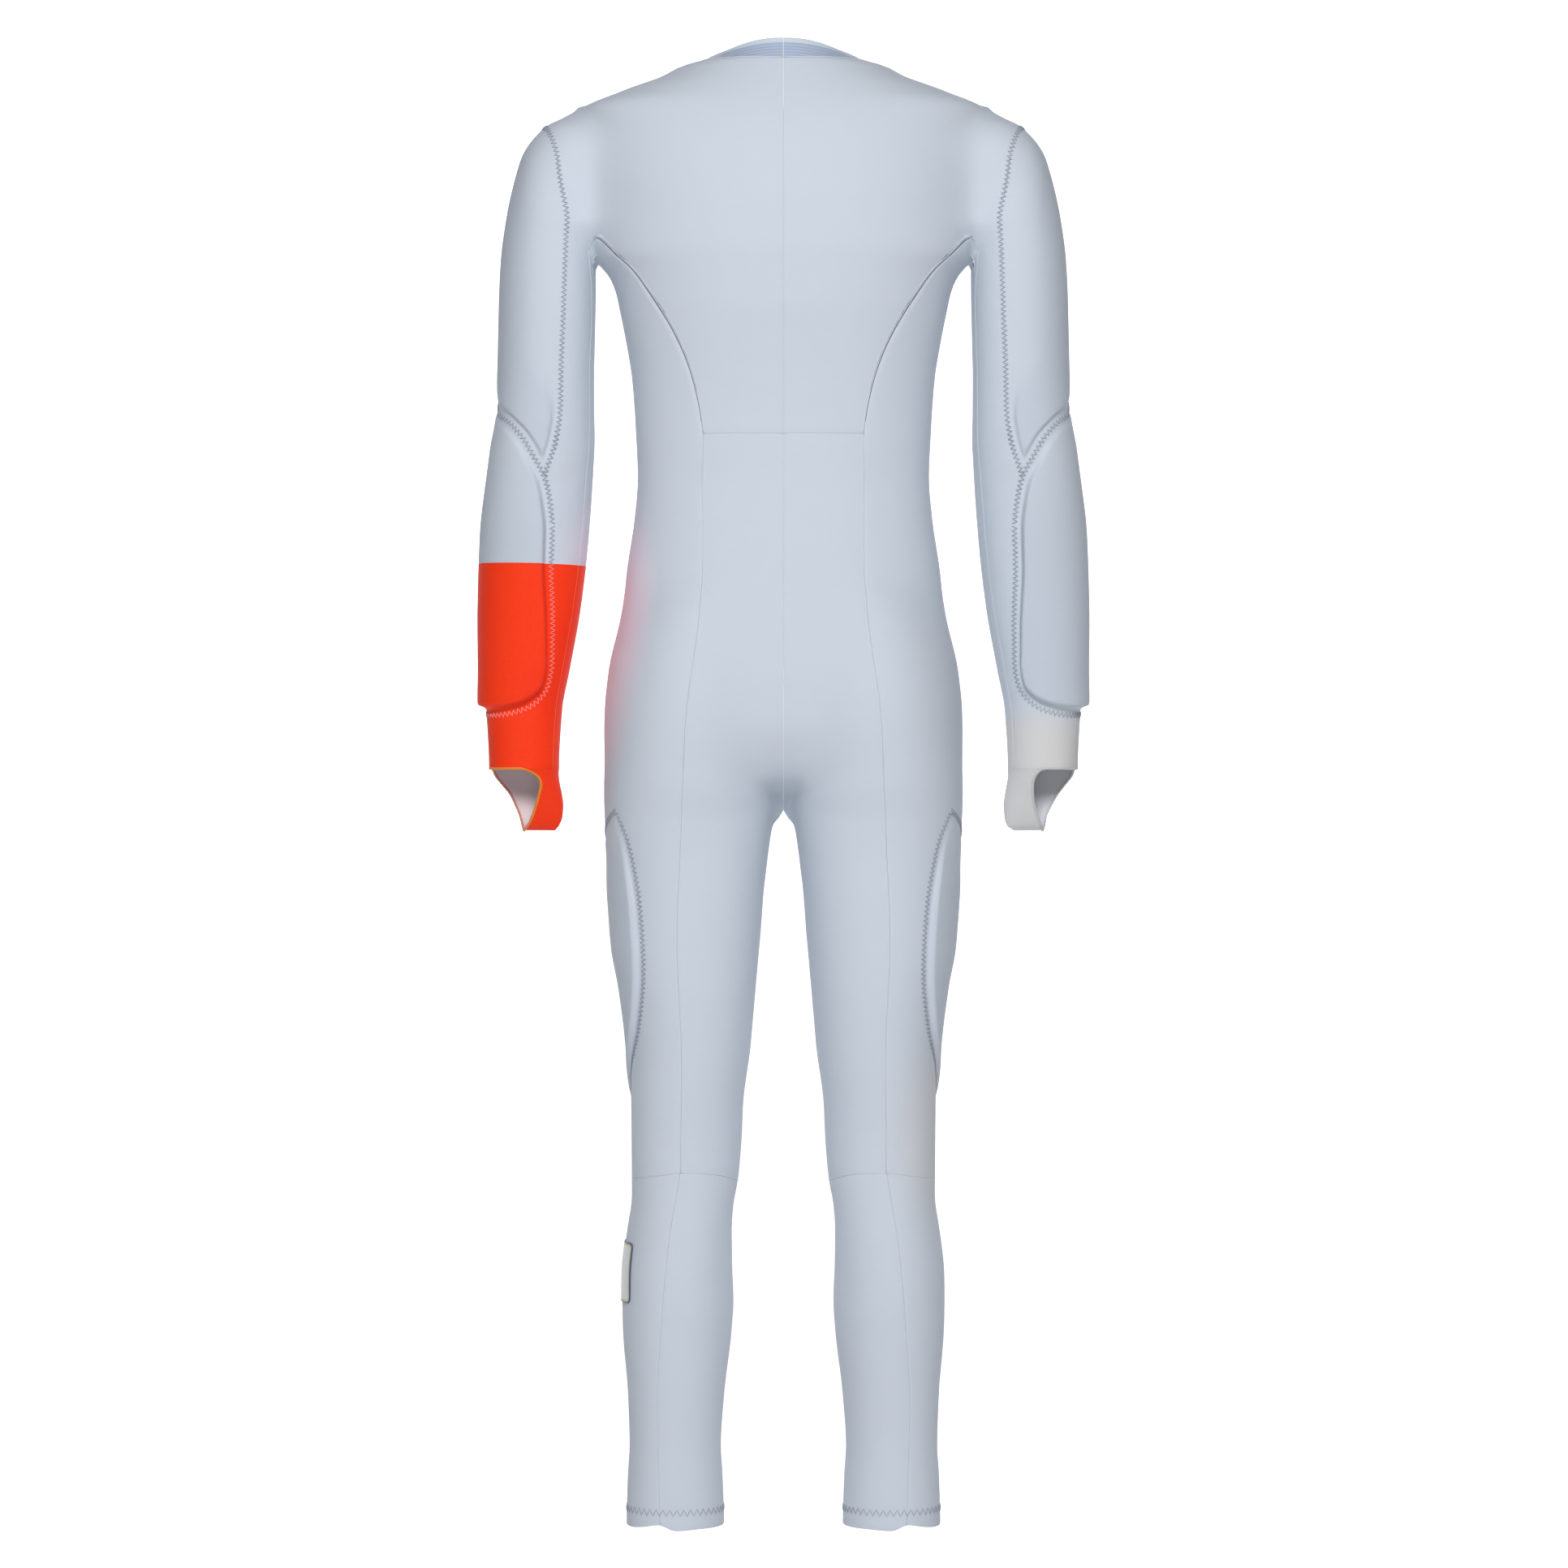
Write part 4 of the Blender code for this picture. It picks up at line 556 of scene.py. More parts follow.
def mesh_object(name, points, triangles, materials, inner=None, pad=None, sharp=None):
    mesh = bpy.data.meshes.new(name)
    mesh.from_pydata(points.tolist(), [], triangles.tolist())
    for material in materials:
        mesh.materials.append(material)
    mesh.polygons.foreach_set("use_smooth", np.ones(len(triangles), dtype=bool))
    if inner is not None:
        mesh.polygons.foreach_set("material_index", inner.astype(np.int32))
    if pad is not None:
        layer = mesh.attributes.new("pad", "FLOAT", "POINT")
        layer.data.foreach_set("value", pad.astype(np.float32))
    if sharp is not None:
        pairs = np.empty(len(mesh.edges) * 2, dtype=np.int32)
        mesh.edges.foreach_get("vertices", pairs)
        pairs = np.sort(pairs.reshape(-1, 2), axis=1).astype(np.int64)
        wanted = np.sort(sharp, axis=1).astype(np.int64)
        size = len(points)
        hard = np.isin(pairs[:, 0] * size + pairs[:, 1], wanted[:, 0] * size + wanted[:, 1])
        layer = mesh.attributes.new("sharp_edge", "BOOLEAN", "EDGE")
        layer.data.foreach_set("value", hard)
    mesh.update()
    thing = bpy.data.objects.new(name, mesh)
    bpy.context.scene.collection.objects.link(thing)
    return thing


def tube(line, radius, corners=6, closed=False, flat=1.0, normals=None):
    """A tube along a line, with capped ends; flat below 1 presses it to the surface."""
    line = np.asarray(line, float)
    if closed:
        along = np.roll(line, -1, axis=0) - np.roll(line, 1, axis=0)
    else:
        along = np.gradient(line, axis=0)
    along = unit(along)
    up = outward(line) if normals is None else normals
    side = unit(np.cross(along, up))
    up = np.cross(side, along)
    turn = np.arange(corners) * 2 * math.pi / corners
    ring = side[:, None] * np.cos(turn)[None, :, None] + up[:, None] * np.sin(turn)[None, :, None] * flat
    radius = np.broadcast_to(np.asarray(radius, float), (len(line),))
    points = (line[:, None] + ring * radius[:, None, None]).reshape(-1, 3)
    n = len(line)
    i = np.arange(n if closed else n - 1)
    j = (i + 1) % n
    faces = []
    for k in range(corners):
        l = (k + 1) % corners
        faces.append(np.stack([i * corners + k, i * corners + l, j * corners + l], 1))
        faces.append(np.stack([i * corners + k, j * corners + l, j * corners + k], 1))
    if not closed:
        fan = np.arange(1, corners - 1)
        faces.append(np.stack([np.zeros_like(fan), fan + 1, fan], 1))
        last = (n - 1) * corners
        faces.append(np.stack([np.zeros_like(fan) + last, fan + last, fan + 1 + last], 1))
    return points, np.concatenate(faces)


def combined(parts):
    points, faces, count = [], [], 0
    for p, f in parts:
        points.append(p)
        faces.append(f + count)
        count += len(p)
    return np.concatenate(points), np.concatenate(faces)


def mirrored(points, faces):
    return points * np.array([-1.0, 1.0, 1.0]), faces[:, ::-1]


def resampled(line, step, closed=False):
    line = np.asarray(line, float)
    if closed:
        line = np.concatenate([line, line[:1]])
    s = np.concatenate([[0.0], np.cumsum(np.linalg.norm(np.diff(line, axis=0), axis=1))])
    count = max(2, int(round(s[-1] / step)))
    t = np.linspace(0.0, s[-1], count + 1)
    out = np.stack([np.interp(t, s, line[:, k]) for k in range(3)], axis=-1)
    return out[:-1] if closed else out


def closed_line(edges):
    """The point numbers along one closed border, with the first repeated at the end."""
    after = {int(a): int(b) for a, b in edges}
    line = [after[min(after)]]
    while len(line) <= len(after):
        line.append(after[line[-1]])
    return line


def zigzag(line, pitch, half, lift, radius, closed=False):
    """A zigzag thread along a line on the form."""
    line = settle(resampled(line, pitch / 2, closed), 2)
    normals = outward(line)
    along = np.roll(line, -1, axis=0) - np.roll(line, 1, axis=0)
    if not closed:
        along[0], along[-1] = line[1] - line[0], line[-1] - line[-2]
    side = np.cross(unit(along), normals)
    sign = np.where(np.arange(len(line)) % 2 == 0, 1.0, -1.0)[:, None]
    corners = settle(line + side * half * sign, 2)
    middles = (corners[:-1] + corners[1:]) / 2
    path = np.empty((2 * len(corners) - 1, 3))
    path[0::2] = corners
    path[1::2] = settle(middles, 1)
    up = outward(path)
    height = np.full(len(path), lift)
    height[0::2] -= lift * 0.9
    return tube(path + up * height[:, None], radius, 5, normals=up)


# Materials
class Graph:
    """A few short names for making a material's nodes."""

    def __init__(self, name):
        self.material = bpy.data.materials.new(name)
        self.material.use_nodes = True
        self.tree = self.material.node_tree
        self.shader = self.tree.nodes["Principled BSDF"]
        self.coords = self.tree.nodes.new("ShaderNodeTexCoord").outputs["Object"]
        parts = self.tree.nodes.new("ShaderNodeSeparateXYZ")
        self.link(self.coords, parts.inputs[0])
        self.x, self.y, self.z = parts.outputs

    def link(self, a, b):
        self.tree.links.new(a, b)

    def put(self, value, socket):
        if isinstance(value, bpy.types.NodeSocket):
            self.link(value, socket)
        else:
            socket.default_value = value

    def math(self, how, a, b=0.0, c=0.0):
        new = self.tree.nodes.new("ShaderNodeMath")
        new.operation = how
        for value, socket in zip((a, b, c), new.inputs):
            self.put(value, socket)
        return new.outputs[0]

    def times(self, a, b):
        return self.math("MULTIPLY", a, b)

    def add(self, a, b):
        return self.math("ADD", a, b)

    def colour(self, value):
        self.link(value, self.shader.inputs["Base Color"])

    def smooth(self, value, low, high, to_low=0.0, to_high=1.0):
        new = self.tree.nodes.new("ShaderNodeMapRange")
        new.interpolation_type = "SMOOTHSTEP"
        for v, socket in zip((value, low, high, to_low, to_high), new.inputs):
            self.put(v, socket)
        return new.outputs[0]

    def mix(self, factor, a, b):
        new = self.tree.nodes.new("ShaderNodeMix")
        new.data_type = "RGBA"
        self.put(factor, new.inputs[0])
        for value, socket in ((a, new.inputs[6]), (b, new.inputs[7])):
            self.put((*value, 1.0) if isinstance(value, tuple) else value, socket)
        return new.outputs[2]

    def noise(self, scale, detail=2.0, stretch=None):
        new = self.tree.nodes.new("ShaderNodeTexNoise")
        new.inputs["Scale"].default_value = scale
        new.inputs["Detail"].default_value = detail
        if stretch is None:
            self.link(self.coords, new.inputs["Vector"])
        else:
            by = self.tree.nodes.new("ShaderNodeVectorMath")
            by.operation = "MULTIPLY"
            by.inputs[1].default_value = stretch
            self.link(self.coords, by.inputs[0])
            self.link(by.outputs[0], new.inputs["Vector"])
        return new.outputs[0]

    def spot(self, centre, reach):
        """1 at the centre of a soft round patch, 0 from its reach outward."""
        total = 0.0
        for axis, c, r in zip((self.x, self.y, self.z), centre, reach):
            away = self.math("DIVIDE", self.math("SUBTRACT", axis, c), r)
            total = self.add(self.times(away, away), total)
        return self.smooth(total, 0.0, 1.0, 1.0, 0.0)

    def attribute(self, name):
        new = self.tree.nodes.new("ShaderNodeAttribute")
        new.attribute_name = name
        return new.outputs["Fac"]

    def bump(self, height, strength, distance):
        new = self.tree.nodes.new("ShaderNodeBump")
        new.inputs["Strength"].default_value = strength
        new.inputs["Distance"].default_value = distance
        self.link(height, new.inputs["Height"])
        self.link(new.outputs[0], self.shader.inputs["Normal"])

    def set(self, **values):
        for name, value in values.items():
            self.shader.inputs[name.replace("_", " ")].default_value = value
        return self


PALE = (0.600, 0.655, 0.730)
PALE_LOW = (0.560, 0.605, 0.675)
ORANGE = (1.0, 0.040, 0.001)
ORANGE_DEEP = (0.94, 0.026, 0.001)
OFF_WHITE = (0.655, 0.650, 0.645)
PINK_BOUNCE_LIGHT = (0.900, 0.700, 0.820)
WARM = (0.640, 0.610, 0.600)
# Soft patches: centre and reach. The hip patch is painted light, the pink glow bounced from the orange sleeve
# on to the left hip; the knee patch is a warm tint.
HIP_BOUNCE_LIGHT_PATCH = ((0.168, 0.020, -0.560), (0.062, 0.11, 0.160))
KNEE_PATCH = ((-0.135, 0.02, -1.050), (0.05, 0.07, 0.120))


def knit(g):
    """Fine rows and stitches of the knit, as a height."""
    rows = g.math("SINE", g.times(g.z, 5200.0))
    grain = g.noise(1500.0, 2.0, (1.0, 1.0, 0.45))
    return g.add(g.times(rows, 0.12), grain)


def colour_zones(g, pale):
    """Colours by place: pale all over, orange lower left sleeve, off-white right cuff, soft patches: painted
    pink bounce light on the left hip and a warm tint on the right knee.
    """
    large = g.noise(3.2, 2.0)
    ground = g.mix(g.smooth(large, 0.35, 0.65, 0.0, 0.22), pale, PALE_LOW)
    # Painted light: pink laid on the left hip stands for light bounced off the orange sleeve.
    ground = g.mix(g.times(g.spot(*HIP_BOUNCE_LIGHT_PATCH), 0.75), ground, PINK_BOUNCE_LIGHT)
    ground = g.mix(g.times(g.spot(*KNEE_PATCH), 0.45), ground, WARM)
    right_arm = g.math("LESS_THAN", g.x, -SLEEVE_FROM)
    cuff = g.times(right_arm, g.smooth(g.z, -0.668, -0.625, 1.0, 0.0))
    ground = g.mix(cuff, ground, OFF_WHITE)
    level = g.add(g.z, g.times(g.math("SUBTRACT", g.x, 0.24), -0.022))
    left_arm = g.math("GREATER_THAN", g.x, SLEEVE_FROM)
    orange = g.times(left_arm, g.math("LESS_THAN", level, ORANGE_FROM))
    bright = g.mix(g.smooth(g.noise(9.0, 2.0), 0.35, 0.7, 0.0, 0.5), ORANGE, ORANGE_DEEP)
    return g.mix(orange, ground, bright), orange


def cloth_material(name, pad=False):
    g = Graph(name)
    colour, orange = colour_zones(g, PALE)
    if pad:
        darker = g.times(g.attribute("pad"), 0.16)
        colour = g.mix(g.times(darker, g.math("SUBTRACT", 1.0, orange)), colour, (0.30, 0.36, 0.45))
    fine = knit(g)
    colour = g.mix(g.smooth(fine, 0.35, 0.85, 0.0, 0.05), colour, (0.45, 0.50, 0.58))
    g.colour(colour)
    g.bump(fine, 0.22, 0.00035)
    g.set(Roughness=0.62, Sheen_Weight=0.03, Sheen_Roughness=0.4, Specular_IOR_Level=0.15)
    return g.material


def inner_material():
    g = Graph("cloth_reverse")
    left_arm = g.math("GREATER_THAN", g.x, SLEEVE_FROM)
    low = g.math("LESS_THAN", g.z, ORANGE_FROM)
    pinkish = g.times(left_arm, low)
    tone = g.mix(g.smooth(g.noise(30.0), 0.3, 0.7, 0.0, 0.3), (0.70, 0.72, 0.76), (0.62, 0.64, 0.69))
    g.colour(g.mix(pinkish, tone, (0.80, 0.66, 0.68)))
    g.bump(knit(g), 0.3, 0.0004)
    g.set(Roughness=0.8, Sheen_Weight=0.15)
    return g.material


def thread_and_shade_material(name, pale, on_orange, rough=0.55):
    g = Graph(name)
    left_arm = g.math("GREATER_THAN", g.x, SLEEVE_FROM)
    orange = g.times(left_arm, g.math("LESS_THAN", g.z, ORANGE_FROM - 0.001))
    twist = g.smooth(g.noise(2500.0, 1.0), 0.3, 0.7, 0.0, 0.3)
    ground = g.mix(twist, pale, tuple(c * 0.75 for c in pale))
    g.colour(g.mix(orange, ground, on_orange))
    g.set(Roughness=rough, Sheen_Weight=0.1)
    return g.material


def plain_cloth(name, colour, second, rough=0.65, scale=1200.0):
    g = Graph(name)
    grain = g.noise(scale, 2.0)
    g.colour(g.mix(g.smooth(grain, 0.3, 0.7), colour, second))
    g.bump(grain, 0.3, 0.0003)
    g.set(Roughness=rough, Sheen_Weight=0.1)
    return g.material


def metal_material(name, colour):
    g = Graph(name)
    worn = g.noise(420.0, 3.0)
    g.colour(g.mix(g.smooth(worn, 0.35, 0.7), colour, tuple(c * 0.8 for c in colour)))
    g.link(g.smooth(worn, 0.3, 0.7, 0.28, 0.42), g.shader.inputs["Roughness"])
    g.set(Metallic=0.85)
    return g.material


CLOTH_LOOK = cloth_material("stretch_cloth")
PAD_LOOK = cloth_material("padded_cloth", True)
REVERSE = inner_material()
THREAD = thread_and_shade_material("zigzag_thread", (0.36, 0.40, 0.47), (1.0, 0.34, 0.30))
RIDGE = thread_and_shade_material("seam_ridge", (0.68, 0.73, 0.79), (1.0, 0.10, 0.02))
# Painted shade: a near-black line along the seam from the armpit to the waist stands for the shadow in its
# groove.
GROOVE_SHADE_LOOK = thread_and_shade_material("armpit_seam_painted_shade", (0.11, 0.11, 0.13), (0.5, 0.02, 0.01))


def collar_material():
    """The stand collar: a light band at its edge, ribbed blue-grey panels below it."""
    g = Graph("collar_cloth")
    height = g.add(g.z, g.times(g.times(g.x, g.x), 2.4))
    at_back = g.smooth(g.y, 0.012, 0.030)
    band = g.smooth(height, 0.0085, 0.0105)
    ribs = g.math("SINE", g.times(height, 2100.0))
    ribbed = g.mix(g.smooth(ribs, -0.6, 0.6), (0.36, 0.43, 0.58), (0.44, 0.51, 0.65))
    centre = g.smooth(g.math("ABSOLUTE", g.x), 0.0004, 0.0009, 0.6, 1.0)
    side = g.smooth(g.math("ABSOLUTE", g.x), 0.058, 0.072, 1.0, 0.0)
    below_band = g.times(side, g.math("SUBTRACT", 1.0, band))
    lower = g.times(g.times(at_back, centre), below_band)
    g.colour(g.mix(lower, (0.585, 0.650, 0.725), ribbed))
    g.bump(g.add(g.times(g.times(ribs, lower), 0.6), knit(g)), 0.3, 0.0004)
    g.set(Roughness=0.62, Sheen_Weight=0.2)
    return g.material


COLLAR_LOOK = collar_material()
TAPE_LOOK = plain_cloth("zip_tape_weave", (0.50, 0.55, 0.62), (0.42, 0.47, 0.55), 0.7, 1600.0)
LOOKS = {"collar": COLLAR_LOOK, "zip_tape": TAPE_LOOK}
# Width and length of each cut piece in metres
FLAT = {
    "back_yoke": (0.36, 0.72), "front": (0.40, 1.13), "side_panel": (0.36, 0.96), "back_lower": (0.20, 0.78),
    "shank_outer": (0.17, 0.36), "shank_inner": (0.18, 0.36), "collar": (0.15, 0.03),
    "zip_tape": (0.0105, 0.60), "hand_loop": (0.115, 0.062),
}

# Panels
points, faces, owner = gathered(CLOTH)
for _ in range(2):
    points, faces, owner = finer(points, faces, owner)
EDGE_PANELS = panels_at(faces, owner)


def own_net(index, levels):
    """The net of one panel, made finer as many times as levels says."""
    f = faces[owner == index]
    used = np.unique(f)
    number = -np.ones(len(points), dtype=int)
    number[used] = np.arange(len(used))
    p, f = points[used], number[f]
    o = np.zeros(len(f), dtype=int)
    for _ in range(levels):
        p, f, o = finer(p, f, o)
    return p, f


def on_suit(thing):
    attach(thing, "suit")


def declare(thing, name, side):
    """Says what a panel rides on, the suit, and hides the solid it stands for."""
    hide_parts(name + "_" + side)
    on_suit(thing)


def pad_shape(name, z):
    """A pad's rise as a share of the full one, and how far from its edge it is full, by height."""
    if name == "upper_arm_panel":
        return 1.0 + 0.0 * z, PAD_FULL + 0.028 * ramp(z, -0.360, -0.280)
    if name == "forearm_panel":
        return 0.15 + 0.85 * ramp(-z, 0.360, 0.470), PAD_FULL + 0.0 * z
    return 0.15 + 0.85 * ramp(-z, 0.745, 0.830), PAD_FULL + 0.0 * z


def shared_line(first, second):
    """The pieces of seam that two panels share, as two arrays of end points."""
    one, two = CLOTH.index(first), CLOTH.index(second)
    pairs = np.array([edge for edge, panels in EDGE_PANELS.items() if set(panels) == {one, two}])
    return points[pairs[:, 0]], points[pairs[:, 1]]


SIDE_SEAM = shared_line("back_yoke", "side_panel")
PAD_LINES = []
for pad_name in PADS:
    p, f = own_net(CLOTH.index(pad_name), 0)
    pad_edges = border(f)
    PAD_LINES.append((p[pad_edges[:, 0]], p[pad_edges[:, 1]]))


def flat_share(p):
    """1 on the border of a pad, where the zigzag holds the joint flat, 0 on plain seams."""
    out = np.zeros(len(p))
    for a, b in PAD_LINES:
        out = np.maximum(out, ramp(-to_line(p, a, b), -0.0006, -0.0002))
    return out


def groove_share(p):
    """How far the seam from the armpit to the waist is drawn in: full at the armpit, less at the waist."""
    near = ramp(-to_line(p, *SIDE_SEAM), -0.0006, -0.0002)
    trunk_side = ramp(-p[:, 0], -SLEEVE_FROM, -0.180) * ramp(p[:, 1], 0.02, 0.03)
    return near * trunk_side * (0.25 + 0.75 * ramp(p[:, 2], -0.360, -0.250)) * ramp(-p[:, 2], 0.160, 0.172)


pad_borders = {}
for index, name in enumerate(CLOTH):
    p, f = own_net(index, 2 if name in PADS else 0)
    normals = outward(p)
    if (area_vectors(p, f) * normals[f[:, 0]]).sum() < 0:
        f = f[:, ::-1]
    lift = -creased(p, normals)
    pad = None
    if name in PADS:
        edges = border(f)
        pad_borders[name] = p[closed_line(edges)]
        away = to_line(p, p[edges[:, 0]], p[edges[:, 1]])
        share, full = pad_shape(name, p[:, 2])
        pad = ramp(away, PAD_FOOT, full) * share
        lift = lift + PADS[name] * pad
    groove = None
    if name in ("back_yoke", "side_panel"):
        groove = groove_share(p)
    out, triangles, inner, hard = closed_panel(p, f, normals, lift, groove=groove, flat=flat_share(p))
    pads = None
    if pad is not None:
        pads = np.zeros(len(out))
        pads[:len(pad)] = pad
    look = LOOKS.get(name, PAD_LOOK if name in PADS else CLOTH_LOOK)
    for side in "LR":
        shown, turned = (out, triangles) if side == "L" else mirrored(out, triangles)
        thing = mesh_object("cloth_" + name + "_" + side, shown, turned, [look, REVERSE], inner, pads, hard)
        declare(thing, name, side)


def add_both(name, parts, material):
    """Parts for the left side as one piece, and their mirror image for the right."""
    p, f = combined(parts)
    for side in "LR":
        q, g = (p, f) if side == "L" else mirrored(p, f)
        thing = mesh_object(name + "_" + side, q, g, [material])
        on_suit(thing)


# Zigzag stitches round the pads and above the hems
forearm_line = pad_borders["forearm_panel"]
upper_line = pad_borders["upper_arm_panel"]
shared = to_line(upper_line, forearm_line[:-1], forearm_line[1:]) < 0.0006
first = int(np.flatnonzero(shared[:-1] & ~np.roll(shared[:-1], -1))[0])
order = np.roll(np.arange(len(upper_line) - 1), -first)
upper_open = upper_line[order[~shared[order]]]
stitches = [
    zigzag(forearm_line[:-1], *PAD_STITCH, closed=True),
    zigzag(upper_open, *PAD_STITCH),
    zigzag(pad_borders["thigh_panel"][:-1], *THIGH_STITCH, closed=True),
]
around = np.arange(0.0, 360.0, 3.0)
hem_ring = round_limb(LEG, np.full(len(around), HEM_STITCH * 1000), around)
stitches.append(zigzag(hem_ring, *HEM_ZIGZAG, closed=True))
add_both("zigzag_stitches", stitches, THREAD)


# Plain seams carry a fine ridge beside the joint, and the seam from the armpit to the waist a dark line of
# painted shade
def plain_seams():
    """The edges between two panels that are neither pads nor zip tape, by pair of panels."""
    lines = {}
    for edge, panels in EDGE_PANELS.items():
        pair = tuple(sorted({CLOTH[panel] for panel in panels}))
        if len(pair) == 2 and not any(n in PADS or n == "zip_tape" for n in pair):
            lines.setdefault(pair, []).append(edge)
    return lines


def ordered(edges):
    """Undirected edges joined into lines of point numbers."""
    near = {}
    for a, b in edges:
        near.setdefault(a, []).append(b)
        near.setdefault(b, []).append(a)
    left = {tuple(sorted(e)) for e in edges}
    ends = [v for v, n in near.items() if len(n) != 2] or [edges[0][0]]
    out = []
    while left:
        start = next((v for v in ends if any(tuple(sorted((v, n))) in left for n in near[v])), None)
        if start is None:
            start = next(iter(left))[0]
        line = [start]
        while True:
            step = next((n for n in near[line[-1]] if tuple(sorted((line[-1], n))) in left), None)
            if step is None:
                break
            left.discard(tuple(sorted((line[-1], step))))
            line.append(step)
        out.append(line)
    return out


ridges = []
groove_shade_lines = []
for pair, edges in plain_seams().items():
    for line in ordered(edges):
        if len(line) < 3:
            continue
        path = settle(resampled(points[line], 0.006), 2)
        up = outward(path)
        along = np.gradient(path, axis=0)
        side = unit(np.cross(along, up))
        ridges.append(tube(path + side * 0.0008 - up * 0.00010, 0.00042, 6, normals=up))
        # Painted shade: on the trunk part of the seam between back yoke and side panel, a dark flattened tube
        # stands for the shadow in the groove, thickest near the armpit.
        if pair == ("back_yoke", "side_panel"):
            trunk_side = path[(path[:, 0] < 0.1845) & (path[:, 2] > -0.366)]
            if len(trunk_side) > 4:
                thread = resampled(trunk_side, 0.003)
                thick = 0.00016 + 0.00034 * ramp(thread[:, 2], -0.350, -0.230)
                groove_shade_lines.append(tube(settle(thread, 2), thick, 6, flat=0.7))
add_both("seam_ridges", ridges, RIDGE)
add_both("armpit_seam_shade", groove_shade_lines, GROOVE_SHADE_LOOK)


# Hand loops: a cup of cloth, open toward the outer side of the wrist
def loop_net(rows, down=44, steps=72):
    """Rows of points down the loop, the last row folded together at the point of the loop."""
    net = []
    for h in np.linspace(rows[0][0], rows[-1][0], down):
        near, inmost, far, deep, middle = (float(smooth_read(rows, i, h)) for i in range(1, 6))
        inner = HAND_LOOP_MIDDLE - inmost
        near_reach = inner if near < HAND_LOOP_MIDDLE else HAND_LOOP_OUTER
        start = math.acos(max(-1.0, min(1.0, (near - HAND_LOOP_MIDDLE) / near_reach)))
        stop = 2 * math.pi - math.acos(max(-1.0, min(1.0, (far - HAND_LOOP_MIDDLE) / HAND_LOOP_OUTER)))
        t = start + (stop - start) * np.linspace(0.0, 1.0, steps + 1)
        reach = np.where(np.cos(t) < 0, inner, HAND_LOOP_OUTER)
        x = HAND_LOOP_MIDDLE + reach * np.cos(t)
        net.append(np.stack([x, middle + deep * np.sin(t), np.full(len(t), h)], 1))
    net = np.array(net) / 1000.0
    half = steps // 2
    net[-1, half:] = net[-1, :half + 1][::-1]
    return net


def away_from_wrist(line):
    """Level directions from the middle of the hand loop out to each point."""
    away = line - np.array(LOOP_MIDDLE)
    away[:, 2] = 0.0
    return unit(away)


def hand_loop(side, rows, binding_look):
    """One loop of cloth, the binding round its opening and the cord of its seam to the cuff."""
    net = loop_net(rows)
    down, wide = net.shape[:2]
    ids = np.arange(down * wide).reshape(down, wide)
    ids[-1, wide // 2:] = ids[-1, :wide // 2 + 1][::-1]
    a, b, c, d = ids[:-1, :-1].ravel(), ids[:-1, 1:].ravel(), ids[1:, 1:].ravel(), ids[1:, :-1].ravel()
    f = np.concatenate([np.stack([a, b, c], 1), np.stack([a, c, d], 1)])
    f = f[(f[:, 0] != f[:, 1]) & (f[:, 1] != f[:, 2]) & (f[:, 0] != f[:, 2])]
    used = np.unique(f)
    number = -np.ones(down * wide, dtype=int)
    number[used] = np.arange(len(used))
    p, f = net.reshape(-1, 3)[used], number[f]
    normals = np.zeros_like(p)
    for k in range(3):
        np.add.at(normals, f[:, k], area_vectors(p, f))
    normals = unit(normals)
    if normals[p[:, 0] < 0.235, 0].sum() > 0:
        normals, f = -normals, f[:, ::-1]
    out, triangles, inner, hard = closed_panel(p, f, normals, np.zeros(len(p)), 0.0002)
    near, far = net[:, 0], net[:, -1][::-1]
    stop = math.atan2(far[-1][1] - CUFF_MIDDLE[1], far[-1][0] - CUFF_MIDDLE[0])
    start = math.atan2(near[0][1] - CUFF_MIDDLE[1], near[0][0] - CUFF_MIDDLE[0])
    turn = np.degrees(np.linspace(start, stop, 20))
    over = round_limb(ARM, np.full(len(turn), CUFF_LEVEL * 1000 - 0.3), turn)
    rim = np.concatenate([near[::-1], over[1:-1], far[::-1]])
    rim = resampled(rim, 0.0022)
    for _ in range(3):
        rim[1:-1] = (rim[:-2] + 2 * rim[1:-1] + rim[2:]) / 4
    away = away_from_wrist(rim)
    wave = 1.0 + 0.10 * np.where(np.arange(len(rim)) % 2 == 0, 1.0, -1.0)
    binding = tube(rim - away * WALL / 2, 0.00135 * wave, 8, normals=away)
    joint = resampled(net[0] - [0.0, 0.0, -0.00025], 0.002)
    out_of = away_from_wrist(joint)
    cord = tube(joint - out_of * WALL / 2, 0.00088, 8, normals=out_of)
    if side == "R":
        out, triangles = mirrored(out, triangles)
        binding = mirrored(*binding)
        cord = mirrored(*cord)
    thing = mesh_object("cloth_hand_loop_" + side, out, triangles, [CLOTH_LOOK, REVERSE], inner, sharp=hard)
    on_suit(thing)
    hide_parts("hand_loop_" + side)
    wide, long = FLAT["hand_loop"]
    edge = mesh_object("cuff_binding_" + side, *binding, [binding_look])
    on_suit(edge)
    seam = mesh_object("cuff_seam_" + side, *cord, [CLOTH_LOOK])
    on_suit(seam)


def binding_material(name, near, far):
    g = Graph(name)
    loops = g.math("SINE", g.times(g.add(g.x, g.z), 2800.0))
    colour = g.mix(g.smooth(g.y, -0.052, -0.030), far, near)
    colour = g.mix(g.smooth(loops, -0.5, 0.9, 0.0, 0.35), colour, tuple(c * 0.6 for c in near))
    g.colour(colour)
    g.bump(loops, 0.5, 0.0004)
    g.set(Roughness=0.6, Sheen_Weight=0.1)
    return g.material


BINDING_LEFT = binding_material("binding_left", (0.93, 0.28, 0.01), (0.78, 0.30, 0.26))
hand_loop("L", HAND_LOOP_LEFT, BINDING_LEFT)
BINDING_RIGHT = binding_material("binding_right", (0.66, 0.66, 0.65), (0.70, 0.70, 0.70))
hand_loop("R", HAND_LOOP_RIGHT, BINDING_RIGHT)


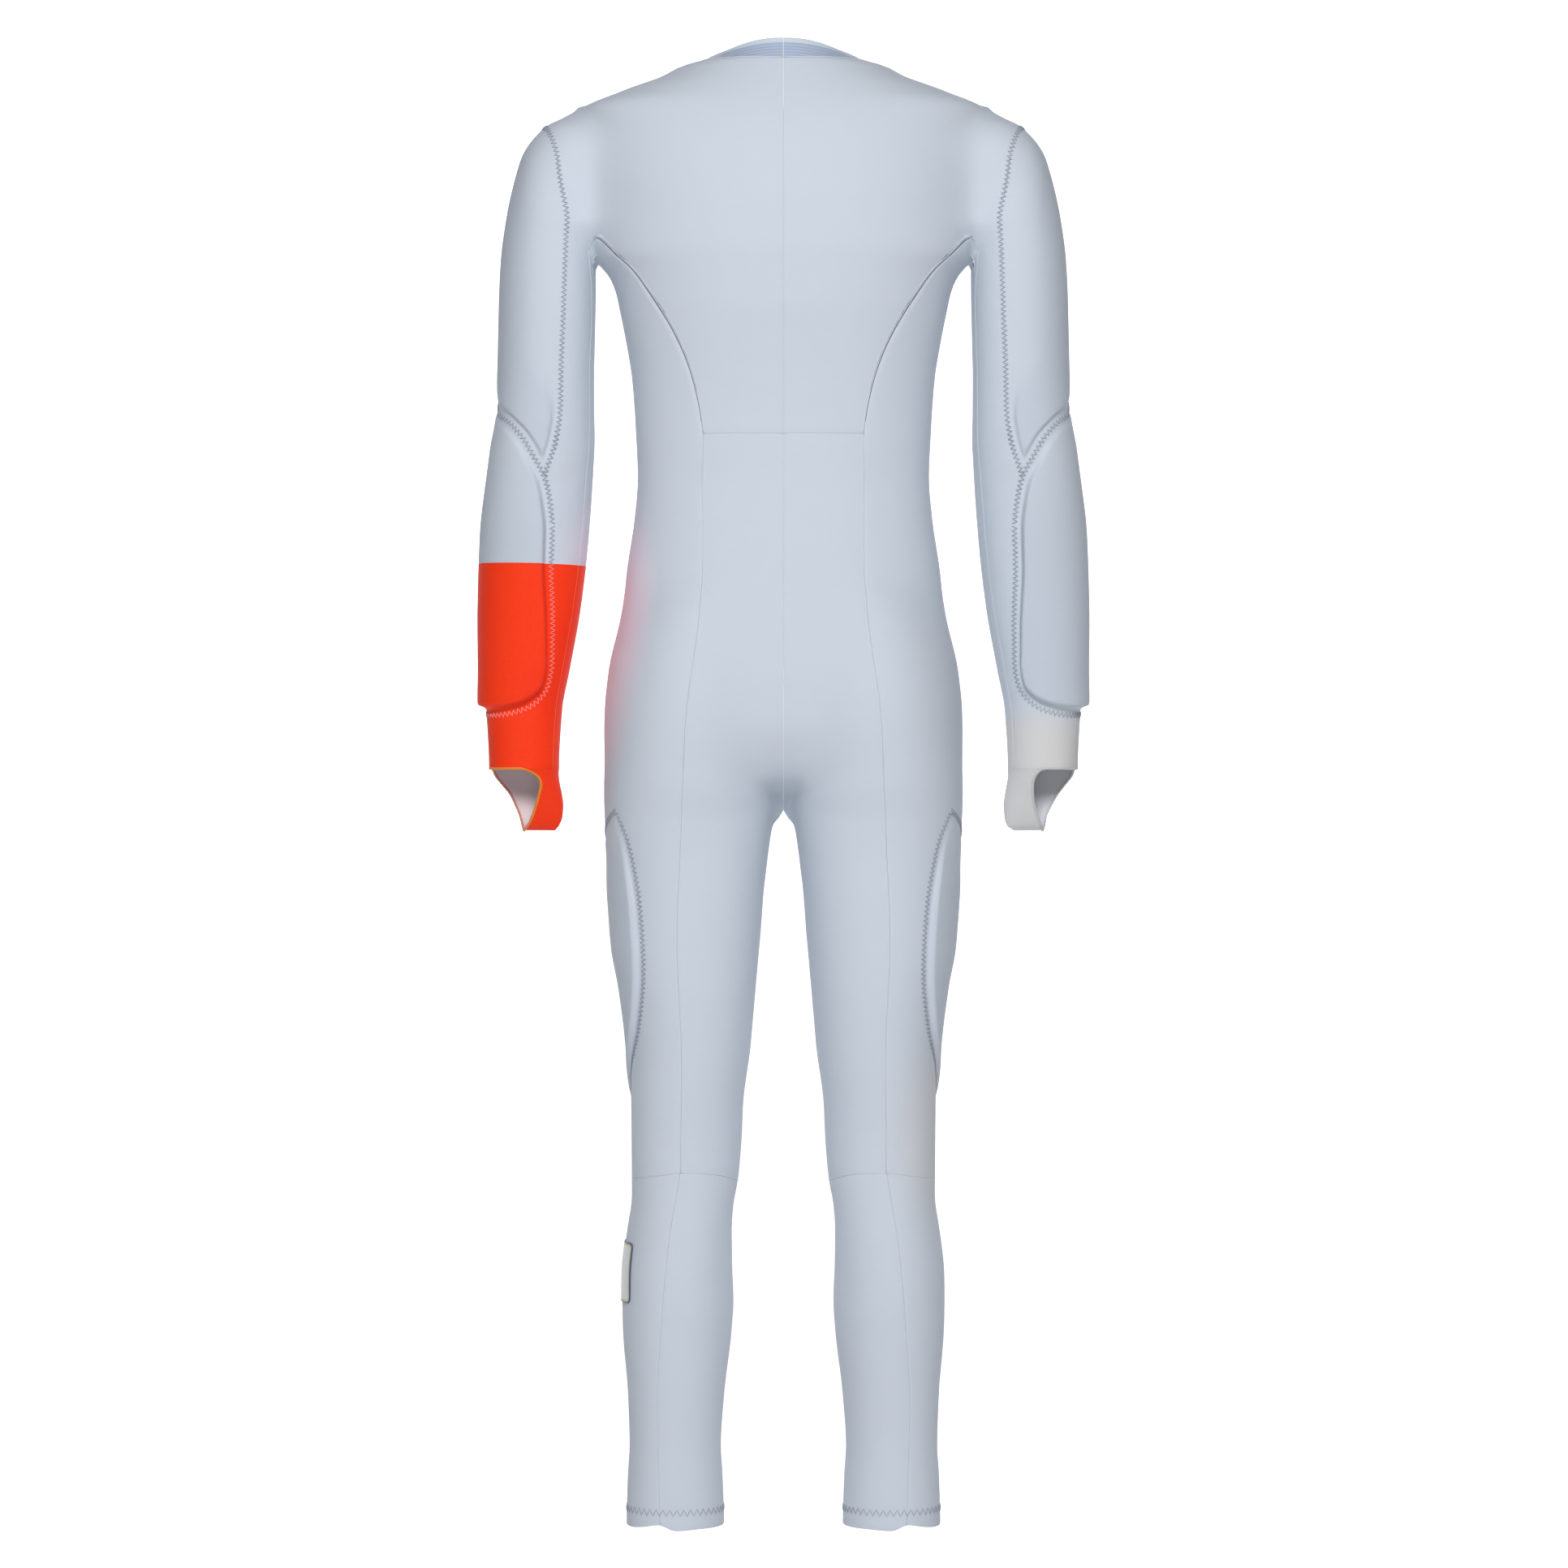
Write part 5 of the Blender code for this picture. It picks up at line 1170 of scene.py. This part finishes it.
# Front zip: teeth down the closed middle, and the slider and pull in metal
def zip_teeth():
    heights = np.arange(*TEETH)
    path = settle(np.stack([np.zeros_like(heights), np.full_like(heights, -0.11), heights], axis=-1), 10)
    path[:, 0] = 0.0
    up = outward(path)
    along = unit(np.gradient(path, axis=0))
    across = np.array([1.0, 0.0, 0.0])
    parts = []
    box = np.array([[-1, -1, -1], [1, -1, -1], [1, 1, -1], [-1, 1, -1],
                    [-0.8, -0.7, 1], [0.8, -0.7, 1], [0.8, 0.7, 1], [-0.8, 0.7, 1]])
    quads = [(0, 3, 2, 1), (4, 5, 6, 7), (0, 1, 5, 4), (1, 2, 6, 5), (2, 3, 7, 6), (3, 0, 4, 7)]
    cut = np.array([t for a, b, c, d in quads for t in ((a, b, c), (a, c, d))])
    for i, (p, n, t) in enumerate(zip(path, up, along)):
        side = 0.0008 if i % 2 else -0.0008
        corners = p + n * 0.00055 + across * (side + box[:, :1] * 0.0016)
        corners = corners + t * box[:, 1:2] * 0.00058 + n * box[:, 2:] * 0.00045
        parts.append((corners, cut))
    return combined(parts)


teeth = mesh_object("zip_teeth", *zip_teeth(), [metal_material("zip_teeth_metal", (0.46, 0.48, 0.51))])
on_suit(teeth)
for name in ("zip_slider", "zip_pull"):
    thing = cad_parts[name]
    thing.data.materials.clear()
    thing.data.materials.append(metal_material(name + "_metal", (0.52, 0.54, 0.57)))


# Bare label: a rounded rectangle laid on the left lower leg, with a blue and a yellow border line
def label_material():
    g = Graph("label_satin")
    away = g.attribute("edge")
    base = g.mix(g.smooth(g.noise(900.0), 0.3, 0.7, 0.0, 0.25), (0.70, 0.72, 0.76), (0.60, 0.63, 0.69))
    yellow = g.times(g.smooth(away, 0.0013, 0.0017), g.smooth(away, 0.0029, 0.0033, 1.0, 0.0))
    colour = g.mix(yellow, base, (0.58, 0.52, 0.10))
    colour = g.mix(g.smooth(away, 0.0012, 0.0016, 1.0, 0.0), colour, (0.05, 0.08, 0.22))
    g.colour(colour)
    g.bump(g.noise(1800.0), 0.15, 0.0002)
    g.set(Roughness=0.38)
    return g.material


def label():
    high, low, start, stop = LABEL
    tall = high - low
    per_degree = math.pi / 180 * LABEL_LEG
    wide = (start - stop) * per_degree
    rings = [0.0, 0.3, 0.6, 1.2, 1.6, 2.2, 2.8, 3.3, 4.5, 8.0, 14.0, 20.0, 26.0]
    rows, depth = [], []
    for ring in rings:
        w, t, r = wide / 2 - ring, tall / 2 - ring, max(LABEL_CORNER - ring, 0.4)
        line = []
        across, up = w - r, t - r
        for cx, cy, a0 in ((across, up, 0), (-across, up, 90), (-across, -up, 180), (across, -up, 270)):
            for k in range(9):
                a = math.radians(a0 + k * 90 / 8)
                line.append((cx + r * math.cos(a), cy + r * math.sin(a)))
        line.append(line[0])
        line = np.array(line)
        s = np.concatenate([[0.0], np.cumsum(np.linalg.norm(np.diff(line, axis=0), axis=1))])
        at = np.linspace(0.0, s[-1], LABEL_STEPS + 1)[:-1]
        rows.append(np.stack([np.interp(at, s, line[:, 0]), np.interp(at, s, line[:, 1])], axis=-1))
        depth.append(np.full(LABEL_STEPS, ring / 1000))
    flat = np.concatenate(rows)
    depth = np.concatenate(depth)
    height = (high + low) / 2 + flat[:, 1]
    angle = (start + stop) / 2 + flat[:, 0] / per_degree
    base = round_limb(LEG, height, angle)
    normals = outward(base)
    top = base + normals * 0.0012
    bottom = base + normals * 0.0004
    count, n = len(base), LABEL_STEPS
    f = []
    for r in range(len(rings) - 1):
        for k in range(n):
            a, b = r * n + k, r * n + (k + 1) % n
            f += [(a, b, b + n), (a, b + n, a + n)]
    last = (len(rings) - 1) * n
    f += [(last, last + k, last + k + 1) for k in range(1, n - 1)]
    f = np.array(f)
    rim = []
    for k in range(n):
        following = (k + 1) % n
        rim += [(k, count + k, count + following), (k, count + following, following)]
    triangles = np.concatenate([f, f[:, ::-1] + count, rim])
    a, b, c = (np.concatenate([top, bottom])[triangles[0, i]] for i in range(3))
    if np.cross(b - a, c - a) @ normals[0] < 0:
        triangles = triangles[:, ::-1]
    thing = mesh_object("bare_label", np.concatenate([top, bottom]), triangles, [label_material()])
    layer = thing.data.attributes.new("edge", "FLOAT", "POINT")
    layer.data.foreach_set("value", np.concatenate([depth, depth]).astype(np.float32))
    on_suit(thing)
    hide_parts("label_L")


label()


# Studio: a white cyclorama whose far part glows softly, a large soft light at the camera, and weak fills
def cyclorama():
    """Level floor in front, a quarter-round bend, and a wall behind."""
    profile = [(4.0, 0.0), (BEND_FROM, 0.0)]
    for k in range(1, 13):
        a = math.radians(k * 7.5)
        profile.append((BEND_FROM - BEND * math.sin(a), BEND * (1 - math.cos(a))))
    profile.append((BEND_FROM - BEND, 3.4))
    points = np.array([(x, y, FLOOR + z) for y, z in profile for x in (-PAPER_HALF, PAPER_HALF)])
    faces = []
    for i in range(0, 2 * len(profile) - 2, 2):
        faces += [(i, i + 1, i + 3), (i, i + 3, i + 2)]
    faces = np.array(faces)
    g = Graph("studio_paper")
    g.colour(g.mix(g.smooth(g.noise(2.0), 0.3, 0.7), (0.90, 0.90, 0.905), (0.87, 0.87, 0.88)))
    g.link(g.smooth(g.y, -0.50, -0.10, GLOW, 0.0), g.shader.inputs["Emission Strength"])
    g.set(Roughness=0.9, Emission_Color=(1.0, 1.0, 1.0, 1.0))
    thing = mesh_object("studio_cyclorama", points, faces, [g.material])


cyclorama()


def area_light(name, place, target, wide, tall, power):
    lamp = bpy.data.lights.new(name, "AREA")
    lamp.shape = "RECTANGLE"
    lamp.size = wide
    lamp.size_y = tall
    lamp.energy = power
    thing = bpy.data.objects.new(name, lamp)
    bpy.context.scene.collection.objects.link(thing)
    thing.location = place
    thing.rotation_euler = (Vector(target) - Vector(place)).to_track_quat("-Z", "Y").to_euler()


area_light("key", (0.0, 4.4, 1.9), (0.0, 0.0, -0.35), 2.2, 1.4, 178.0)
area_light("low_fill", (0.0, 4.6, -1.2), (0.0, 0.0, -1.2), 2.0, 0.7, 22.0)
area_light("front", (0.0, -3.4, 1.2), (0.0, 0.0, -0.7), 1.6, 1.8, 26.0)

world = bpy.data.worlds.new("studio_air")
bpy.context.scene.world = world
world.use_nodes = True
world.node_tree.nodes["Background"].inputs["Color"].default_value = (0.92, 0.95, 1.0, 1.0)
world.node_tree.nodes["Background"].inputs["Strength"].default_value = 0.10
bpy.context.scene.view_settings.view_transform = "Standard"

lens = bpy.data.cameras.new("camera")
lens.sensor_width = 36.0
lens.lens = lens.sensor_width * CAMERA_AWAY / (PHOTO_WIDE * PIXEL)
lens.clip_end = 50.0
camera = bpy.data.objects.new("camera", lens)
bpy.context.scene.collection.objects.link(camera)
camera.location = (-0.00056, CAMERA_AWAY, -0.7128)
camera.rotation_euler = (math.radians(90.0), 0.0, math.radians(180.0))
bpy.context.scene.camera = camera
